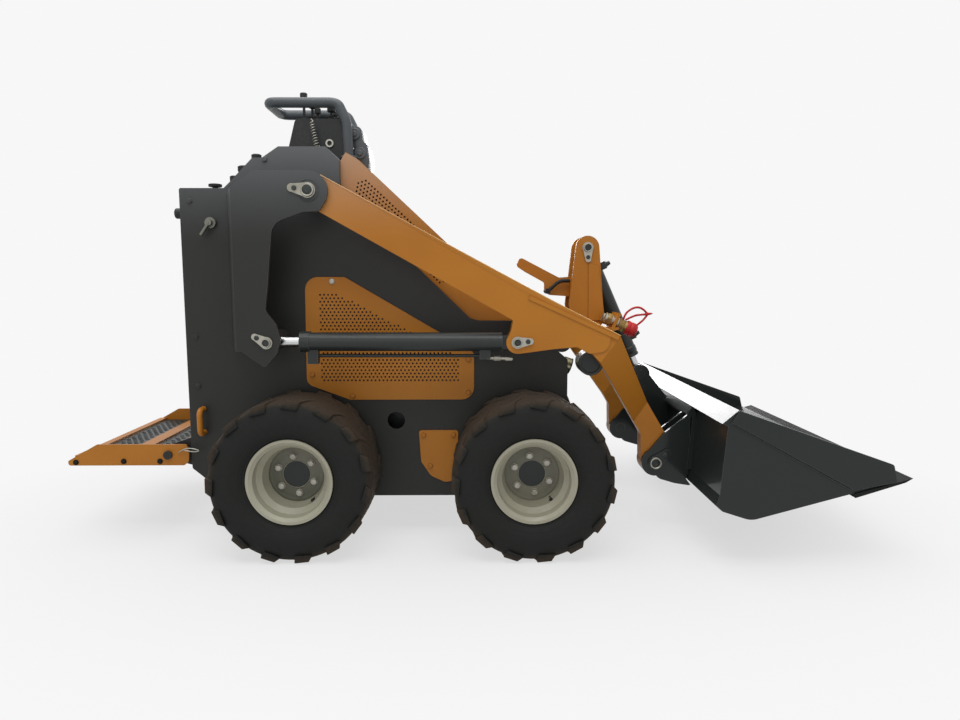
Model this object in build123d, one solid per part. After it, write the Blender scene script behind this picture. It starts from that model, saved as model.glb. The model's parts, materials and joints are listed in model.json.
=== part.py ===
from build123d import *
from math import atan2, cos, degrees, hypot, radians, sin
import os

# Compact stand-on wheel loader, millimetres. +X is forward, +Z is up.
# The origin is on the ground under the middle of the overall length.

# ---- wheels -------------------------------------------------------------
rear_axle_x = -490.0
wheel_base = 680.0
axle_z = 232.0
tyre_r = 232.0
tyre_width = 216.0
tread_half = 104.0
carcass_facets = 24
lug_height = 18.0
lugs_per_side = 15
lug_width = 36.0
lug_sweep = 66.0
bead_r = 108.0
rim_half = 96.0
rim_flange_r = 121.0
rim_wall = 6.0
bead_gap = 0.3
disc_r = 79.0
disc_t = 8.0
hub_hole_r = 39.0
hub_flange_r = 74.0
hub_flange_t = 12.0
hub_cap_h = 5.0
shaft_r = 25.0
motor_r = 52.0
running_gap = 0.3
pin_fit = 0.05

# ---- chassis ------------------------------------------------------------
body_half = 285.0
tyre_clear = 11.0
tyre_mid_y = body_half + tyre_clear + tyre_width / 2
sheet = 8.0
rear_x = -842.0
front_x = 307.0
belly_z = 127.0
column_top_z = 1057.0
console_top_z = 1176.0
hood_half = body_half - 23.0
hood_sheet = 5.0
panel_t = 5.0
cover_t = 4.0
hole_pitch = 24.0
hole_size = 13.0

# ---- boom pivots and cylinders, as (x, z) -------------------------------
pivot = (-431.0, 1033.0)
lift_anchor = (-558.0, 614.0)
lift_lug = (146.0, 613.0)
bucket_pin = (582.0, 229.0)
tilt_top = (399.0, 895.0)
tilt_low = (590.0, 470.0)
boom_pin_r = 17.5
cylinder_pin_r = 12.5
tilt_pin_r = 14.0
side_gap = 0.5

ear_t = 10.0
arm_t = 50.0
arm_skin = 4.0
arm_outer = tyre_mid_y + 10.0
ear_outer = arm_outer + 16.0
arm_mid = arm_outer - arm_t / 2
leg_outer = body_half - 11.0
leg_t = 44.0
beam_centre = (400.0, 624.0)
beam_r = 30.0
lug_slot = 35.0
eye_t = 32.0
eye_r = 29.0
barrel_r = 27.0
barrel_length = 575.0
barrel_setback = 43.0
rod_r = 15.0
pipe_r = 5.0
tower_outer = 56.0
tower_t = 11.0
tilt_eye_t = 40.0
tilt_barrel_r = 33.0
tilt_rod_r = 14.0

# ---- bucket and its mount -----------------------------------------------
bucket_half = 550.0
side_t = 10.0
shell_t = 8.0
doubler_t = 6.0
ear_in = 10.0
plate_half = leg_outer + side_gap + ear_in + 0.5
plate_t = 10.0
tilt_ear_t = 12.0

# ---- controls -----------------------------------------------------------
pod_half = 80.0
pod_top_z = 1300.0
housing_half = 106.0
handle_z = 1373.0
handle_y = 85.0
handle_r = 17.5
handle_rear_x = -647.0

# ---- auxiliary couplers -------------------------------------------------
coupler_rear = (444.0, 669.0)
coupler_slope = -24.3
coupler_length = 92.0
coupler_ys = (-142.0, -98.0)
coupler_r = 17.0
coupler_bore_r = 12.3
coupler_bore_depth = 24.0
bracket_at = 34.0
cap_r = 24.0
cap_length = 38.0

# ---- platform -----------------------------------------------------------
platform_half = body_half + 11.0
platform_pivot = (-909.0, 260.0)
platform_tip_x = -1214.0
rail_t = 6.0
bracket_outer = platform_half - 22.0
hinge_r = 8.0


def outline(rows, y):
    """Closed face in X and Z at y. A row is corner x, corner z and, where it is rounded, its radius."""
    corners = [(row[0], y, row[1]) for row in rows]
    radii = [row[2] if len(row) > 2 else 0 for row in rows]
    return make_face(FilletPolyline(*corners, radius=radii, close=True))


def slab(rows, y0, y1):
    """Outline in X and Z given a thickness along Y."""
    return extrude(outline(rows, y0), amount=y1 - y0, dir=(0, 1, 0))


def bar_y(centre, radius, y0, y1):
    x, z = centre
    return Pos(x, (y0 + y1) / 2, z) * Rot(90, 0, 0) * Cylinder(radius, abs(y1 - y0))


def box(x0, x1, y0, y1, z0, z1):
    return Pos((x0 + x1) / 2, (y0 + y1) / 2, (z0 + z1) / 2) * Box(x1 - x0, abs(y1 - y0), z1 - z0)


def bar_between(a, b, y, radius):
    """Round bar between two points of the plane at y."""
    length = hypot(b[0] - a[0], b[1] - a[1])
    plane = Plane(origin=(a[0], y, a[1]), z_dir=(b[0] - a[0], 0, b[1] - a[1]))
    return plane * Pos(0, 0, length / 2) * Cylinder(radius, length)


def along(a, b, distance, lift=0.0):
    """Point at a distance from a towards b, raised square to that line by lift."""
    length = hypot(b[0] - a[0], b[1] - a[1])
    ux, uz = (b[0] - a[0]) / length, (b[1] - a[1]) / length
    return (a[0] + ux * distance - uz * lift, a[1] + uz * distance + ux * lift)


def tube(points, radius, bends):
    """Round bar or hose along straight runs joined by tangent arcs."""
    path = FilletPolyline(*points, radius=bends)
    return sweep(Plane(origin=path @ 0, z_dir=path % 0) * Circle(radius), path=path)


def fuse(shapes):
    first, *rest = shapes
    return first.fuse(*rest).clean() if rest else first


def write(name, *shapes):
    solids = [s for shape in shapes for s in shape.solids()]
    export_step(solids[0] if len(solids) == 1 else Compound(children=solids), f"parts/{name}.step")


os.makedirs("parts", exist_ok=True)
axles = {"rear": rear_axle_x, "front": rear_axle_x + wheel_base}
sides = {"right": -1, "left": 1}

# ---- wheels -------------------------------------------------------------
# Half sections are rows of radius and offset outward from the tyre's middle.
bead_y = rim_half - rim_wall - bead_gap
half_width = tyre_width / 2
carcass_r = tyre_r - lug_height
carcass_half = [
    (bead_r + bead_gap, bead_y), (rim_flange_r + 2, bead_y), (bead_r + 58, half_width),
    (carcass_r, tread_half - 30),
]
well_r = bead_r - 14
inner_well_r = well_r - rim_wall
rim_section = [
    (rim_flange_r, -rim_half), (rim_flange_r, -rim_half + rim_wall), (bead_r, -rim_half + rim_wall),
    (bead_r, -62), (well_r, -50), (well_r, 50), (bead_r, 62), (bead_r, rim_half - rim_wall),
    (rim_flange_r, rim_half - rim_wall), (rim_flange_r, rim_half), (rim_flange_r - 8, rim_half),
    (bead_r - 4, rim_half - 8), (bead_r - rim_wall, 62), (inner_well_r, 48), (inner_well_r - 2, 32),
    (disc_r, disc_t), (hub_hole_r, disc_t), (hub_hole_r, 0), (disc_r - 2, 0), (inner_well_r, -10),
    (inner_well_r, -50), (bead_r - rim_wall, -62), (bead_r - rim_wall, -rim_half),
]
facet_turn = 360 / carcass_facets


lug_reach = (lug_sweep + lug_width) / 2
lug_top = (tyre_r ** 2 - lug_reach ** 2) ** 0.5


def carcass():
    """Faceted ring about the Y axis, made of one flat-sided segment turned round."""
    rows = carcass_half + [(r, -y) for r, y in reversed(carcass_half)]
    stretch = 1 / cos(radians(facet_turn / 2))
    ends = []
    for turn in (-facet_turn / 2, facet_turn / 2):
        ring = [(r * stretch * sin(radians(turn)), y, r * stretch * cos(radians(turn))) for r, y in rows]
        ends.append(make_face(Polyline(*ring, close=True)))
    segment = loft(ends, ruled=True)
    return [Rot(0, facet_turn * i, 0) * segment for i in range(carcass_facets)]


def lug(side):
    """One slanting flat-topped bar, from the shoulder to the middle of the tread."""
    rows = [(-lug_sweep / 2, tread_half), (lug_sweep / 2, 5.0)]
    corners = [(u - lug_width / 2, side * y) for u, y in rows]
    corners += [(u + lug_width / 2, side * y) for u, y in reversed(rows)]
    base = carcass_r - 30
    face = make_face(Polyline(*[(u, y, base) for u, y in corners], close=True))
    return extrude(face, amount=lug_top - base, dir=(0, 0, 1))


def tyre():
    pieces = carcass()
    pitch = 360 / lugs_per_side
    for side in (-1, 1):
        for i in range(lugs_per_side):
            pieces.append(Rot(0, pitch * (i + side * 0.25), 0) * lug(side))
    # A lug's leading corner stands straight under the axle.
    foot = pitch * (lugs_per_side // 2 + 0.25) + degrees(atan2(lug_reach, lug_top))
    return Rot(0, 180 - foot, 0) * fuse(pieces)


def revolved(section):
    """Section of radius and outward offset, spun about the Y axis."""
    return revolve(make_face(Polyline(*[(r, y, 0) for r, y in section], close=True)), Axis.Y, 360)


whole_tyre = tyre()
whole_rim = revolved(rim_section)
hub_flange = bar_y((0, 0), hub_flange_r, -hub_flange_t, 0)
hub_cap = bar_y((0, 0), hub_hole_r - pin_fit, 0, hub_cap_h)
hub_bore = bar_y((0, 0), shaft_r + running_gap, -hub_flange_t, 0)
whole_hub = fuse([hub_flange, hub_cap]) - hub_bore
for end, x in axles.items():
    for side_name, side in sides.items():
        for name, shape in (("tyre", whole_tyre), ("rim", whole_rim), ("hub", whole_hub)):
            turned = shape if side > 0 else mirror(shape, Plane.XZ)
            write(f"{name}_{end}_{side_name}", Pos(x, side * tyre_mid_y, axle_z) * turned)

motors = []
for x in axles.values():
    for side in (-1, 1):
        hub_back = tyre_mid_y - hub_flange_t
        motors.append(fuse([
            bar_y((x, axle_z), motor_r, side * body_half, side * (hub_back - 2)),
            bar_y((x, axle_z), shaft_r, side * (hub_back - 2), side * (tyre_mid_y - 1)),
        ]))
write("wheel_motors", *motors)

# ---- chassis shell ------------------------------------------------------
side_outline = [
    (rear_x, column_top_z, 6), (-711, column_top_z), (-695, column_top_z + 15), (-624, 1144), (-596, 1144),
    (-548, console_top_z), (-410, console_top_z), (-372, 1138), (-372, 1046), (11, 674), (35, 667),
    (190, 667),
    (280, 573), (front_x, 550, 8), (front_x, 230, 30), (262, belly_z, 30), (-735, belly_z, 20),
    (-800, 180, 20),
    (rear_x, 215, 10),
]
inner_outline = [
    (rear_x + sheet, column_top_z - sheet), (-708, column_top_z - sheet), (-690, 1062), (-620, 1134),
    (-593, 1134), (-546, console_top_z - sheet), (-412, console_top_z - sheet), (-380, 1134), (-380, 1038),
    (5, 664), (32, 667 - sheet), (187, 667 - sheet), (275, 567), (front_x - sheet, 545),
    (front_x - sheet, 238), (256, belly_z + sheet), (-730, belly_z + sheet), (-794, 188),
    (rear_x + sheet, 219),
]
shell = slab(side_outline, -body_half, body_half) - slab(inner_outline, -body_half + sheet,
                                                         body_half - sheet)
engine_bay = slab([(-360, 1034), (5, 680), (5, 640), (-360, 994)], -hood_half + 20, hood_half - 20)
side_hole = (-215.0, 363.0)
side_hole_r = 27.0
shell = shell - engine_bay - bar_y(side_hole, side_hole_r, -body_half - 1, body_half + 1)
write("chassis_shell", shell)

# Engine and pump, closed inside the shell.
engine_rear_x = -330.0
engine_front_x = 60.0
engine_half = body_half - 85
engine_top_z = 560.0
write("engine_block", box(engine_rear_x, engine_front_x, -engine_half, engine_half, belly_z + sheet, engine_top_z))

# Rear service door, standing proud of the column's back between the two rear knobs.
door_low_z = 420.0
door_top_z = column_top_z - 110
door = box(rear_x - cover_t, rear_x, -body_half + 35, body_half - 35, door_low_z, door_top_z)
door = fillet(door.edges().filter_by(Axis.X), 25)
hinge_y = body_half - 28
door_pieces = [door]
for z in (door_low_z + 60, door_top_z - 97):
    door_pieces.append(Pos(rear_x - 12, hinge_y, z + 30) * Cylinder(8, 60))
    door_pieces.append(box(rear_x - 12, rear_x - cover_t, hinge_y - 32, hinge_y, z, z + 60))
write("rear_door", fuse(door_pieces))

# ---- tower ears ---------------------------------------------------------
ear_nose_r = 53.0
ear_outline = [
    (-644, 1040, 20), (-580, pivot[1] + ear_nose_r, 20), (pivot[0], pivot[1] + ear_nose_r),
    (pivot[0] + ear_nose_r, pivot[1]), (-382, 1009), (-402, 977, 12), (-447, 975, 40), (-532, 944, 48),
    (-551, 762, 60),
    (-559, 704, 20), (-530, 665, 14), (-519, 623, 20), (-530, 583, 14), (-565, 544, 8), (-644, 600, 8),
]
web_foot_x = -703.0
web_head_x = -632.0
boss_r = 40.0
boss_gap = 2.0
ears = []
for side in (-1, 1):
    inner = side * (ear_outer - ear_t)
    plate = slab(ear_outline, side * ear_outer, inner)
    nose = bar_y(pivot, ear_nose_r, side * ear_outer, inner)
    web_plan = [
        (web_foot_x, side * body_half), (web_foot_x + 12, side * body_half), (web_head_x, inner),
        (web_head_x, side * ear_outer), (web_head_x - 12, side * ear_outer),
    ]
    web_face = make_face(Polyline(*[(x, y, 590) for x, y in web_plan], close=True))
    web = extrude(web_face, amount=450, dir=(0, 0, 1))
    # Rows: centre, radius, inner end and outer end of each boss.
    bosses = [bar_y(centre, radius, side * y0, side * y1) for centre, radius, y0, y1 in (
        (pivot, boss_r, body_half, arm_outer - arm_t - side_gap),
        (pivot, boss_r, arm_outer + side_gap, ear_outer - ear_t),
        (lift_anchor, eye_r, body_half, arm_mid - eye_t / 2 - boss_gap),
        (lift_anchor, eye_r, arm_mid + eye_t / 2 + boss_gap, ear_outer - ear_t),
    )]
    ear = fuse([plate, nose, web, *bosses])
    for centre, radius in ((pivot, boom_pin_r), (lift_anchor, cylinder_pin_r)):
        ear = ear - bar_y(centre, radius + pin_fit, side * body_half, side * (ear_outer + 1))
    ears.append(ear)
write("tower_ears", *ears)


def flagged_pin(centre, radius, y_inner, y_outer, toward, head):
    """Pin whose head is welded to a flag plate that points along toward."""
    side = 1 if y_outer > 0 else -1
    length = hypot(*toward)
    ux, uz = toward[0] / length, toward[1] / length
    tip = (centre[0] + ux * head * 2.1, centre[1] + uz * head * 2.1)
    wing = [(p[0] + s * uz * r, p[1] - s * ux * r) for p, r, s in (
        (centre, head * 0.98, 1), (tip, head * 0.53, 1), (tip, head * 0.53, -1), (centre, head * 0.98, -1))]
    face_y = y_outer + side * 6
    return fuse([
        bar_y(centre, radius, y_inner, y_outer), bar_y(centre, head, y_outer, face_y),
        bar_y(tip, head * 0.55, y_outer, face_y), slab(wing, y_outer, face_y),
        bar_y(centre, radius * 0.72, face_y, face_y + side * 5),
    ])


boom_pins = []
anchor_pins = []
for side in (-1, 1):
    boom_pins.append(flagged_pin(pivot, boom_pin_r, side * body_half, side * ear_outer, (-1, 0.15), 21))
    # The anchor pin stops at the rod eye, which carries its own length of the pin.
    outer_start = side * (arm_mid + eye_t / 2 + boss_gap)
    anchor_pins.append(flagged_pin(lift_anchor, cylinder_pin_r, outer_start, side * ear_outer, (-1, 0.55),
                                   17))
    inner_end = side * (arm_mid - eye_t / 2 - boss_gap)
    anchor_pins.append(bar_y(lift_anchor, cylinder_pin_r, side * body_half, inner_end))
write("pivot_pins", *boom_pins, *anchor_pins)


# ---- perforated sheet ---------------------------------------------------
def inside(point, corners):
    """Whether a point lies in the polygon."""
    x, z = point
    crossings = False
    for (x0, z0), (x1, z1) in zip(corners, corners[1:] + corners[:1]):
        if (z0 > z) != (z1 > z) and x < x0 + (z - z0) / (z1 - z0) * (x1 - x0):
            crossings = not crossings
    return crossings


def hole_centres(field, start, pitch, slope):
    """Staggered rows across the field, the rows running along the slope in degrees."""
    ux, uz = cos(radians(slope)), sin(radians(slope))
    centres = []
    for row in range(-20, 21):
        for column in range(-30, 31):
            a, b = (column + 0.5 * (row % 2)) * pitch, row * pitch * 0.866
            point = (start[0] + a * ux - b * uz, start[1] + a * uz + b * ux)
            if inside(point, field):
                centres.append(point)
    return centres


def perforated(rows, field, start, slope, y0, y1):
    """Flat panel with four-sided holes in staggered rows over its field."""
    half = hole_size / 2
    holes = [
        make_face(Polyline((x - half, y0, z), (x, y0, z + half), (x + half, y0, z), (x, y0, z - half),
                           close=True))
        for x, z in hole_centres(field, start, hole_pitch, slope)
    ]
    return extrude(outline(rows, y0) - holes, amount=y1 - y0, dir=(0, 1, 0))


# ---- hood ---------------------------------------------------------------
# A bent top sheet closed by two flat sides, each with a perforated band along its slope.
hood_back_x = -372.0
hood_nose = [(-357, 1165, 10), (-319, 1143, 60)]
hood_end = (190.0, 667.0)
hood_sill = [(35, 667), (11, 674), (hood_back_x, 1046)]
hood_side_outline = [(hood_back_x, 1138, 4), *hood_nose, hood_end, *hood_sill]
band_field = [(-331, 1050), (-322, 1081), (-297, 1090), (-20, 830), (-75, 772), (-290, 975)]
band_slope = -42.9
write("hood_sides", *[
    perforated(hood_side_outline, band_field, (-300, 1070), band_slope, side * hood_half,
               side * (hood_half - hood_sheet))
    for side in (-1, 1)
])
top_sheet = [(hood_back_x, 1138), *[(x, z) for x, z, *_ in hood_nose], hood_end]
top_under = [(183, 667), (-322, 1137), (-356, 1157), (hood_back_x + 4, 1135)]
write("hood", slab(top_sheet + top_under, -hood_half + hood_sheet, hood_half - hood_sheet))

# ---- side grilles and cover plates --------------------------------------
grille_outline = [(-480, 798, 38), (-362, 798, 20), (23, 572, 20), (23, 428, 38), (-353, 428, 20),
                  (-483, 476, 26)]
grille_field = [(-428, 746), (-384, 752), (-26, 558), (-26, 478), (-428, 478)]
write("side_grilles", *[
    perforated(grille_outline, grille_field, (-420, 490), 0, side * body_half, side * (body_half + panel_t))
    for side in (-1, 1)
])
front_axle_x = rear_axle_x + wheel_base
cover_rows = [(-336, 333, 8), (-216, 333, 8), (-216, 180), (-254, 169, 30), (-300, 190, 30), (-330, 235, 20)]
cover_outline = [(front_axle_x + row[0], *row[1:]) for row in cover_rows]
write("side_covers", *[slab(cover_outline, s * body_half, s * (body_half + cover_t)) for s in (-1, 1)])

# ---- controls -----------------------------------------------------------
pod_outline = [(-579, console_top_z), (-549, 1290), (-543, pod_top_z, 4), (-392, pod_top_z, 10),
               (-392, console_top_z)]
pod = slab(pod_outline, -pod_half, pod_half)
write("control_pod", pod)
housing_back_x = -391.7
housing_outline = [
    (housing_back_x, console_top_z), (housing_back_x, 1262, 6), (-371, 1280, 14), (-330, 1266, 16),
    (-331, 1206, 10),
    (-340, console_top_z),
]
housing = slab(housing_outline, -housing_half, housing_half)
write("valve_block", housing)
handle_bends = [60, 60, 55, 55, 60, 60]
handle_route = [(-366, 1240), (-374, 1310), (-404, handle_z), (handle_rear_x, handle_z)]
handle_left = [(x, handle_y, z) for x, z in reversed(handle_route)]
handle = tube([(x, -handle_y, z) for x, z in handle_route] + handle_left, handle_r, handle_bends)
write("handle_bar", handle - housing)
# Rows: x, y, height of the rod, knob radius, knob height.
lever_rows = [(-536, 0, 75, 12, 24), (-500, -38, 40, 11, 20), (-500, 38, 40, 11, 20),
              (-440, -30, 30, 14, 16),
              (-440, 30, 30, 14, 16)]
levers = []
for x, y, rod_height, knob_r, knob_height in lever_rows:
    boot = Pos(x, y, pod_top_z + 6) * Cone(16, 9, 12)
    rod = Pos(x, y, pod_top_z + rod_height / 2) * Cylinder(4.5, rod_height)
    knob = Pos(x, y, pod_top_z + rod_height + knob_height / 2) * Cylinder(knob_r, knob_height)
    levers.append(fuse([boot, rod, fillet(knob.edges(), 4)]))
write("control_levers", *levers)

# ---- small body fittings ------------------------------------------------
cap_x, cap_y = -802.0, -body_half + 185
filler = Pos(cap_x, cap_y, column_top_z + 13) * Cylinder(9, 26)
filler_top = Pos(cap_x, cap_y, column_top_z + 31) * Cylinder(19, 10)
write("fuel_cap", fuse([filler, fillet(filler_top.edges(), 3)]))
knob_z = column_top_z - 66
rear_knob = Pos(rear_x - 24, 85 - body_half, knob_z) * Rot(0, 90, 0) * Cylinder(16, 48)
write("rear_knob", fillet(rear_knob.edges(), 5))
# Gauges and switches stand square to the console's slope: x, z, lean, y, radius, height.
gauge_rows = [(-703, 1064.5, -45, -200, 10, 12), (-667, 1101, -45, -200, 13, 12),
              (-640, 1128, -45, -200, 17, 30),
              (-660, 1108, -45, 0, 40, 5), (-660, 1108, -45, -110, 30, 5), (-660, 1108, -45, 110, 30, 5),
              (-660, 1108, -45, 200, 15, 12)]
gauges = []
for x, z, lean, y, radius, height in gauge_rows:
    gauges.append(Pos(x, y, z) * Rot(0, lean, 0) * Pos(0, 0, height / 2) * Cylinder(radius, height))
write("console_gauges", *[gauge - shell for gauge in gauges])
latch_at = (-751.0, 956.0)
latches = []
for s in (-1, 1):
    base = bar_y(latch_at, 16, s * body_half, s * (body_half + 12))
    stem = bar_y(latch_at, 8, s * (body_half + 12), s * (body_half + 24))
    lever = bar_between(latch_at, (latch_at[0] - 25, latch_at[1] - 36), s * (body_half + 20), 5)
    latches.append(fuse([base, stem, lever]))
write("side_latches", *latches)
lamp_z = 528.0
lamp_lean = 20.0
lamps = []
for side in (-1, 1):
    at = Pos(front_x, side * (body_half - 50), lamp_z) * Rot(0, lamp_lean, 0)
    drum = at * Rot(0, 90, 0) * Cylinder(24, 34)
    foot = Pos(front_x + 3, side * (body_half - 50), lamp_z) * Box(6, 30, 20)
    behind = box(front_x - 60, front_x, side * (body_half - 100), side * body_half, lamp_z - 80, lamp_z + 80)
    lamps.append(fuse([fillet(drum.edges(), 4), foot]) - behind)
write("work_lamps", *lamps)
loop_x = -799.0
loop_out = 34.0
loop_r = 8.5


def tie_loop(side):
    y, base = side * (body_half + loop_out), side * body_half
    return tube([(loop_x, base, 400), (loop_x, y, 400), (loop_x, y, 328), (loop_x, base, 328)], loop_r, 15)


write("tie_loops", tie_loop(-1), tie_loop(1))

# ---- boom ---------------------------------------------------------------
arm_r = 52.0
arm_core = [
    (-440, 1084, 10), (-406, 1080, 20), (177, 748), (440, 629), (383, 554), (345, 596, 20), (320, 601),
    (248, 594),
    (152, 581), (146, 581), (114, 613), (128, 650, 20), (133, 676, 6), (-449, 1001), (-470, 1020, 10),
]
# The outer skin ends in a round nose short of the elbow, over the leg plate.
arm_cover = [
    (-440, 1084, 10), (-406, 1080, 20), (177, 748), (415, 640, 26), (404, 588, 30), (352, 580, 24),
    (316, 600, 20), (248, 594),
    (152, 581), (146, 581), (114, 613), (128, 650, 20), (133, 676, 6), (-449, 1001), (-470, 1020, 10),
]
edge_bar = [(180, 746.5), (436, 630.5), (431, 619.5), (175, 735.5)]
edge_bar_t = 3.0
crease_low = ((383.0, 554.0), (440.0, 629.0))
crease_end = ((515.0, 356.0), (555.0, 416.0))
leg_outline = [crease_end[0], crease_end[1], (612, 321, 12), (622, 240), (560, 200), (539, 243),
               (537, 319, 20)]
foot_r = 42.0


def arm(side):
    y_out, y_in = side * arm_outer, side * (arm_outer - arm_t)
    y_skin = side * (arm_outer - arm_skin)
    lug_end = bar_y(lift_lug, 32, y_in, y_out)
    parts = [slab(arm_core, y_in, y_skin), slab(arm_cover, y_skin, y_out), bar_y(pivot, arm_r, y_in, y_out),
             lug_end,
             slab(edge_bar, y_skin, y_out + side * edge_bar_t)]
    # The leg steps inboard between two creases.
    leg_out, leg_in = side * leg_outer, side * (leg_outer - leg_t)
    ends = []
    for (low, high), near, far in ((crease_low, y_in, y_skin), (crease_end, leg_in, leg_out)):
        corners = ((low, near), (high, near), (high, far), (low, far))
        ends.append(make_face(Polyline(*[(x, y, z) for (x, z), y in corners], close=True)))
    parts.append(loft(ends, ruled=True))
    parts += [slab(leg_outline, leg_in, leg_out), bar_y(bucket_pin, foot_r, leg_in, leg_out)]
    slot_y0, slot_y1 = side * (arm_mid - lug_slot / 2), side * (arm_mid + lug_slot / 2)
    slot = fuse([bar_y(lift_lug, 40, slot_y0, slot_y1),
                 slab([(146, 653), (60, 690), (60, 540), (186, 570), (186, 613)], slot_y0, slot_y1)])
    whole = fuse(parts) - slot
    whole = whole - bar_y(pivot, boom_pin_r + running_gap, y_in, y_out)
    whole = whole - bar_y(lift_lug, cylinder_pin_r + pin_fit, y_in, y_out)
    return whole - bar_y(bucket_pin, boom_pin_r + running_gap, leg_in, leg_out)


beam = bar_y(beam_centre, beam_r, -(arm_outer - arm_t), arm_outer - arm_t)
tower_r = 39.0
tower_back = [
    (tilt_top[0] - tower_r, tilt_top[1]), (340, 707), (350, 650, 20), (378, 612), (428, 612),
    (458, 650, 20), (456, 689),
    (tilt_top[0] + tower_r, tilt_top[1]),
]
fold_t = 4.0
tower_front = [(tilt_top[0] + 3, 846, 6), (437, 836), (456, 689), (458, 655), (tilt_top[0] + 6, 655)]
towers = []
for side in (-1, 1):
    y0, y1 = side * (tower_outer - tower_t), side * tower_outer
    plate = fuse([slab(tower_back, y0, y1), bar_y(tilt_top, tower_r, y0, y1),
                  slab(tower_front, y1, y1 + side * fold_t)])
    towers.append(plate - bar_y(tilt_top, tilt_pin_r + pin_fit, y0, y1 + side * fold_t))
finger_t = 12.0
finger = slab([(166, 836, 12), (178, 866, 12), (311, 797), (352, 800), (352, 733), (278, 738, 12),
               (262, 757, 6), (262, 780, 10),
               (196, 816)], -finger_t / 2, finger_t / 2)
finger_root = box(346, 356, -(tower_outer - tower_t), tower_outer - tower_t, 735, 795)
write("boom", fuse([arm(-1), arm(1), beam, *towers, finger, finger_root]))

lug_pins = [flagged_pin(lift_lug, cylinder_pin_r, side * (arm_outer - arm_t), side * arm_outer, (1, 0.1),
                        17)
            for side in (-1, 1)]
tilt_pin = flagged_pin(tilt_top, tilt_pin_r, tower_outer, -tower_outer, (0.05, -1), 18)
write("boom_pins", *lug_pins, tilt_pin)

# Two hoses leave a fitting under the finger and enter the tower.
hose_r = 6.0
hose_foot = (272.0, 751.0)
hose_top = (345.7, 786.0)
tilt_hoses = []
for side in (-1, 1):
    y = side * 24
    stub = bar_y(hose_foot, 9, side * finger_t / 2, side * 30)
    route = [(hose_foot[0], y, hose_foot[1]), (hose_top[0] - 34, y, hose_top[1]),
             (hose_top[0], y, hose_top[1])]
    tilt_hoses.append(fuse([stub, tube(route, hose_r, 40)]))
write("tilt_hoses", *tilt_hoses)

# Quick couplers lie beside the tower, parallel to the arm's upper edge.
coupler_dir = (cos(radians(coupler_slope)), sin(radians(coupler_slope)))


def coupler_plane(y, distance):
    x = coupler_rear[0] + coupler_dir[0] * distance
    z = coupler_rear[1] + coupler_dir[1] * distance
    return Plane(origin=(x, y, z), z_dir=(coupler_dir[0], 0, coupler_dir[1]))


def coupler_drum(y, start, length, radius):
    return coupler_plane(y, start + length / 2) * Cylinder(radius, length)


couplers = []
collar_at = bracket_at + 6
for y in coupler_ys:
    body = fuse([coupler_drum(y, 0, coupler_length, coupler_r - 3), coupler_drum(y, 8, 16, coupler_r),
                 coupler_drum(y, collar_at, coupler_length - collar_at, coupler_r)])
    mouth = coupler_drum(y, coupler_length - coupler_bore_depth, coupler_bore_depth, coupler_bore_r)
    couplers.append(body - mouth)
write("aux_couplers", *couplers)
bracket_plane = Plane(origin=coupler_plane(sum(coupler_ys) / 2, bracket_at).origin, x_dir=(0, 1, 0),
                      z_dir=(coupler_dir[0], 0, coupler_dir[1]))
bracket = bracket_plane * Box(104, 62, 8)
foot = slab([(404, 632), (482, 640), (486, 632), (412, 616)], -172, -68) - beam
for y in coupler_ys:
    bracket = bracket - coupler_drum(y, 0, coupler_length, coupler_r - 3 + pin_fit)
    foot = foot - coupler_drum(y, 0, coupler_length + 5, coupler_r + 1)
bracket = fuse([bracket, foot])
write("coupler_bracket", bracket)

# The outer coupler's mouth is shut by a dust cap on a strap loop.
cap_y0 = coupler_ys[0]
cap_start = coupler_length - 18
cap = fillet(coupler_drum(cap_y0, cap_start, cap_length, cap_r).edges(), 9)
cap = cap - coupler_drum(cap_y0, cap_start, 18.3, coupler_r + 0.3)
strap_r = 2.6
strap_route = [(526, 656), (508, 672), (512, 690), (547, 701), (596, 681), (590, 664), (572, 648), (543, 632)]
strap = tube([(x, cap_y0, z) for x, z in strap_route], strap_r, [10, 14, 30, 8, 12, 40])
write("dust_cap", fuse([cap, strap]))

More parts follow.
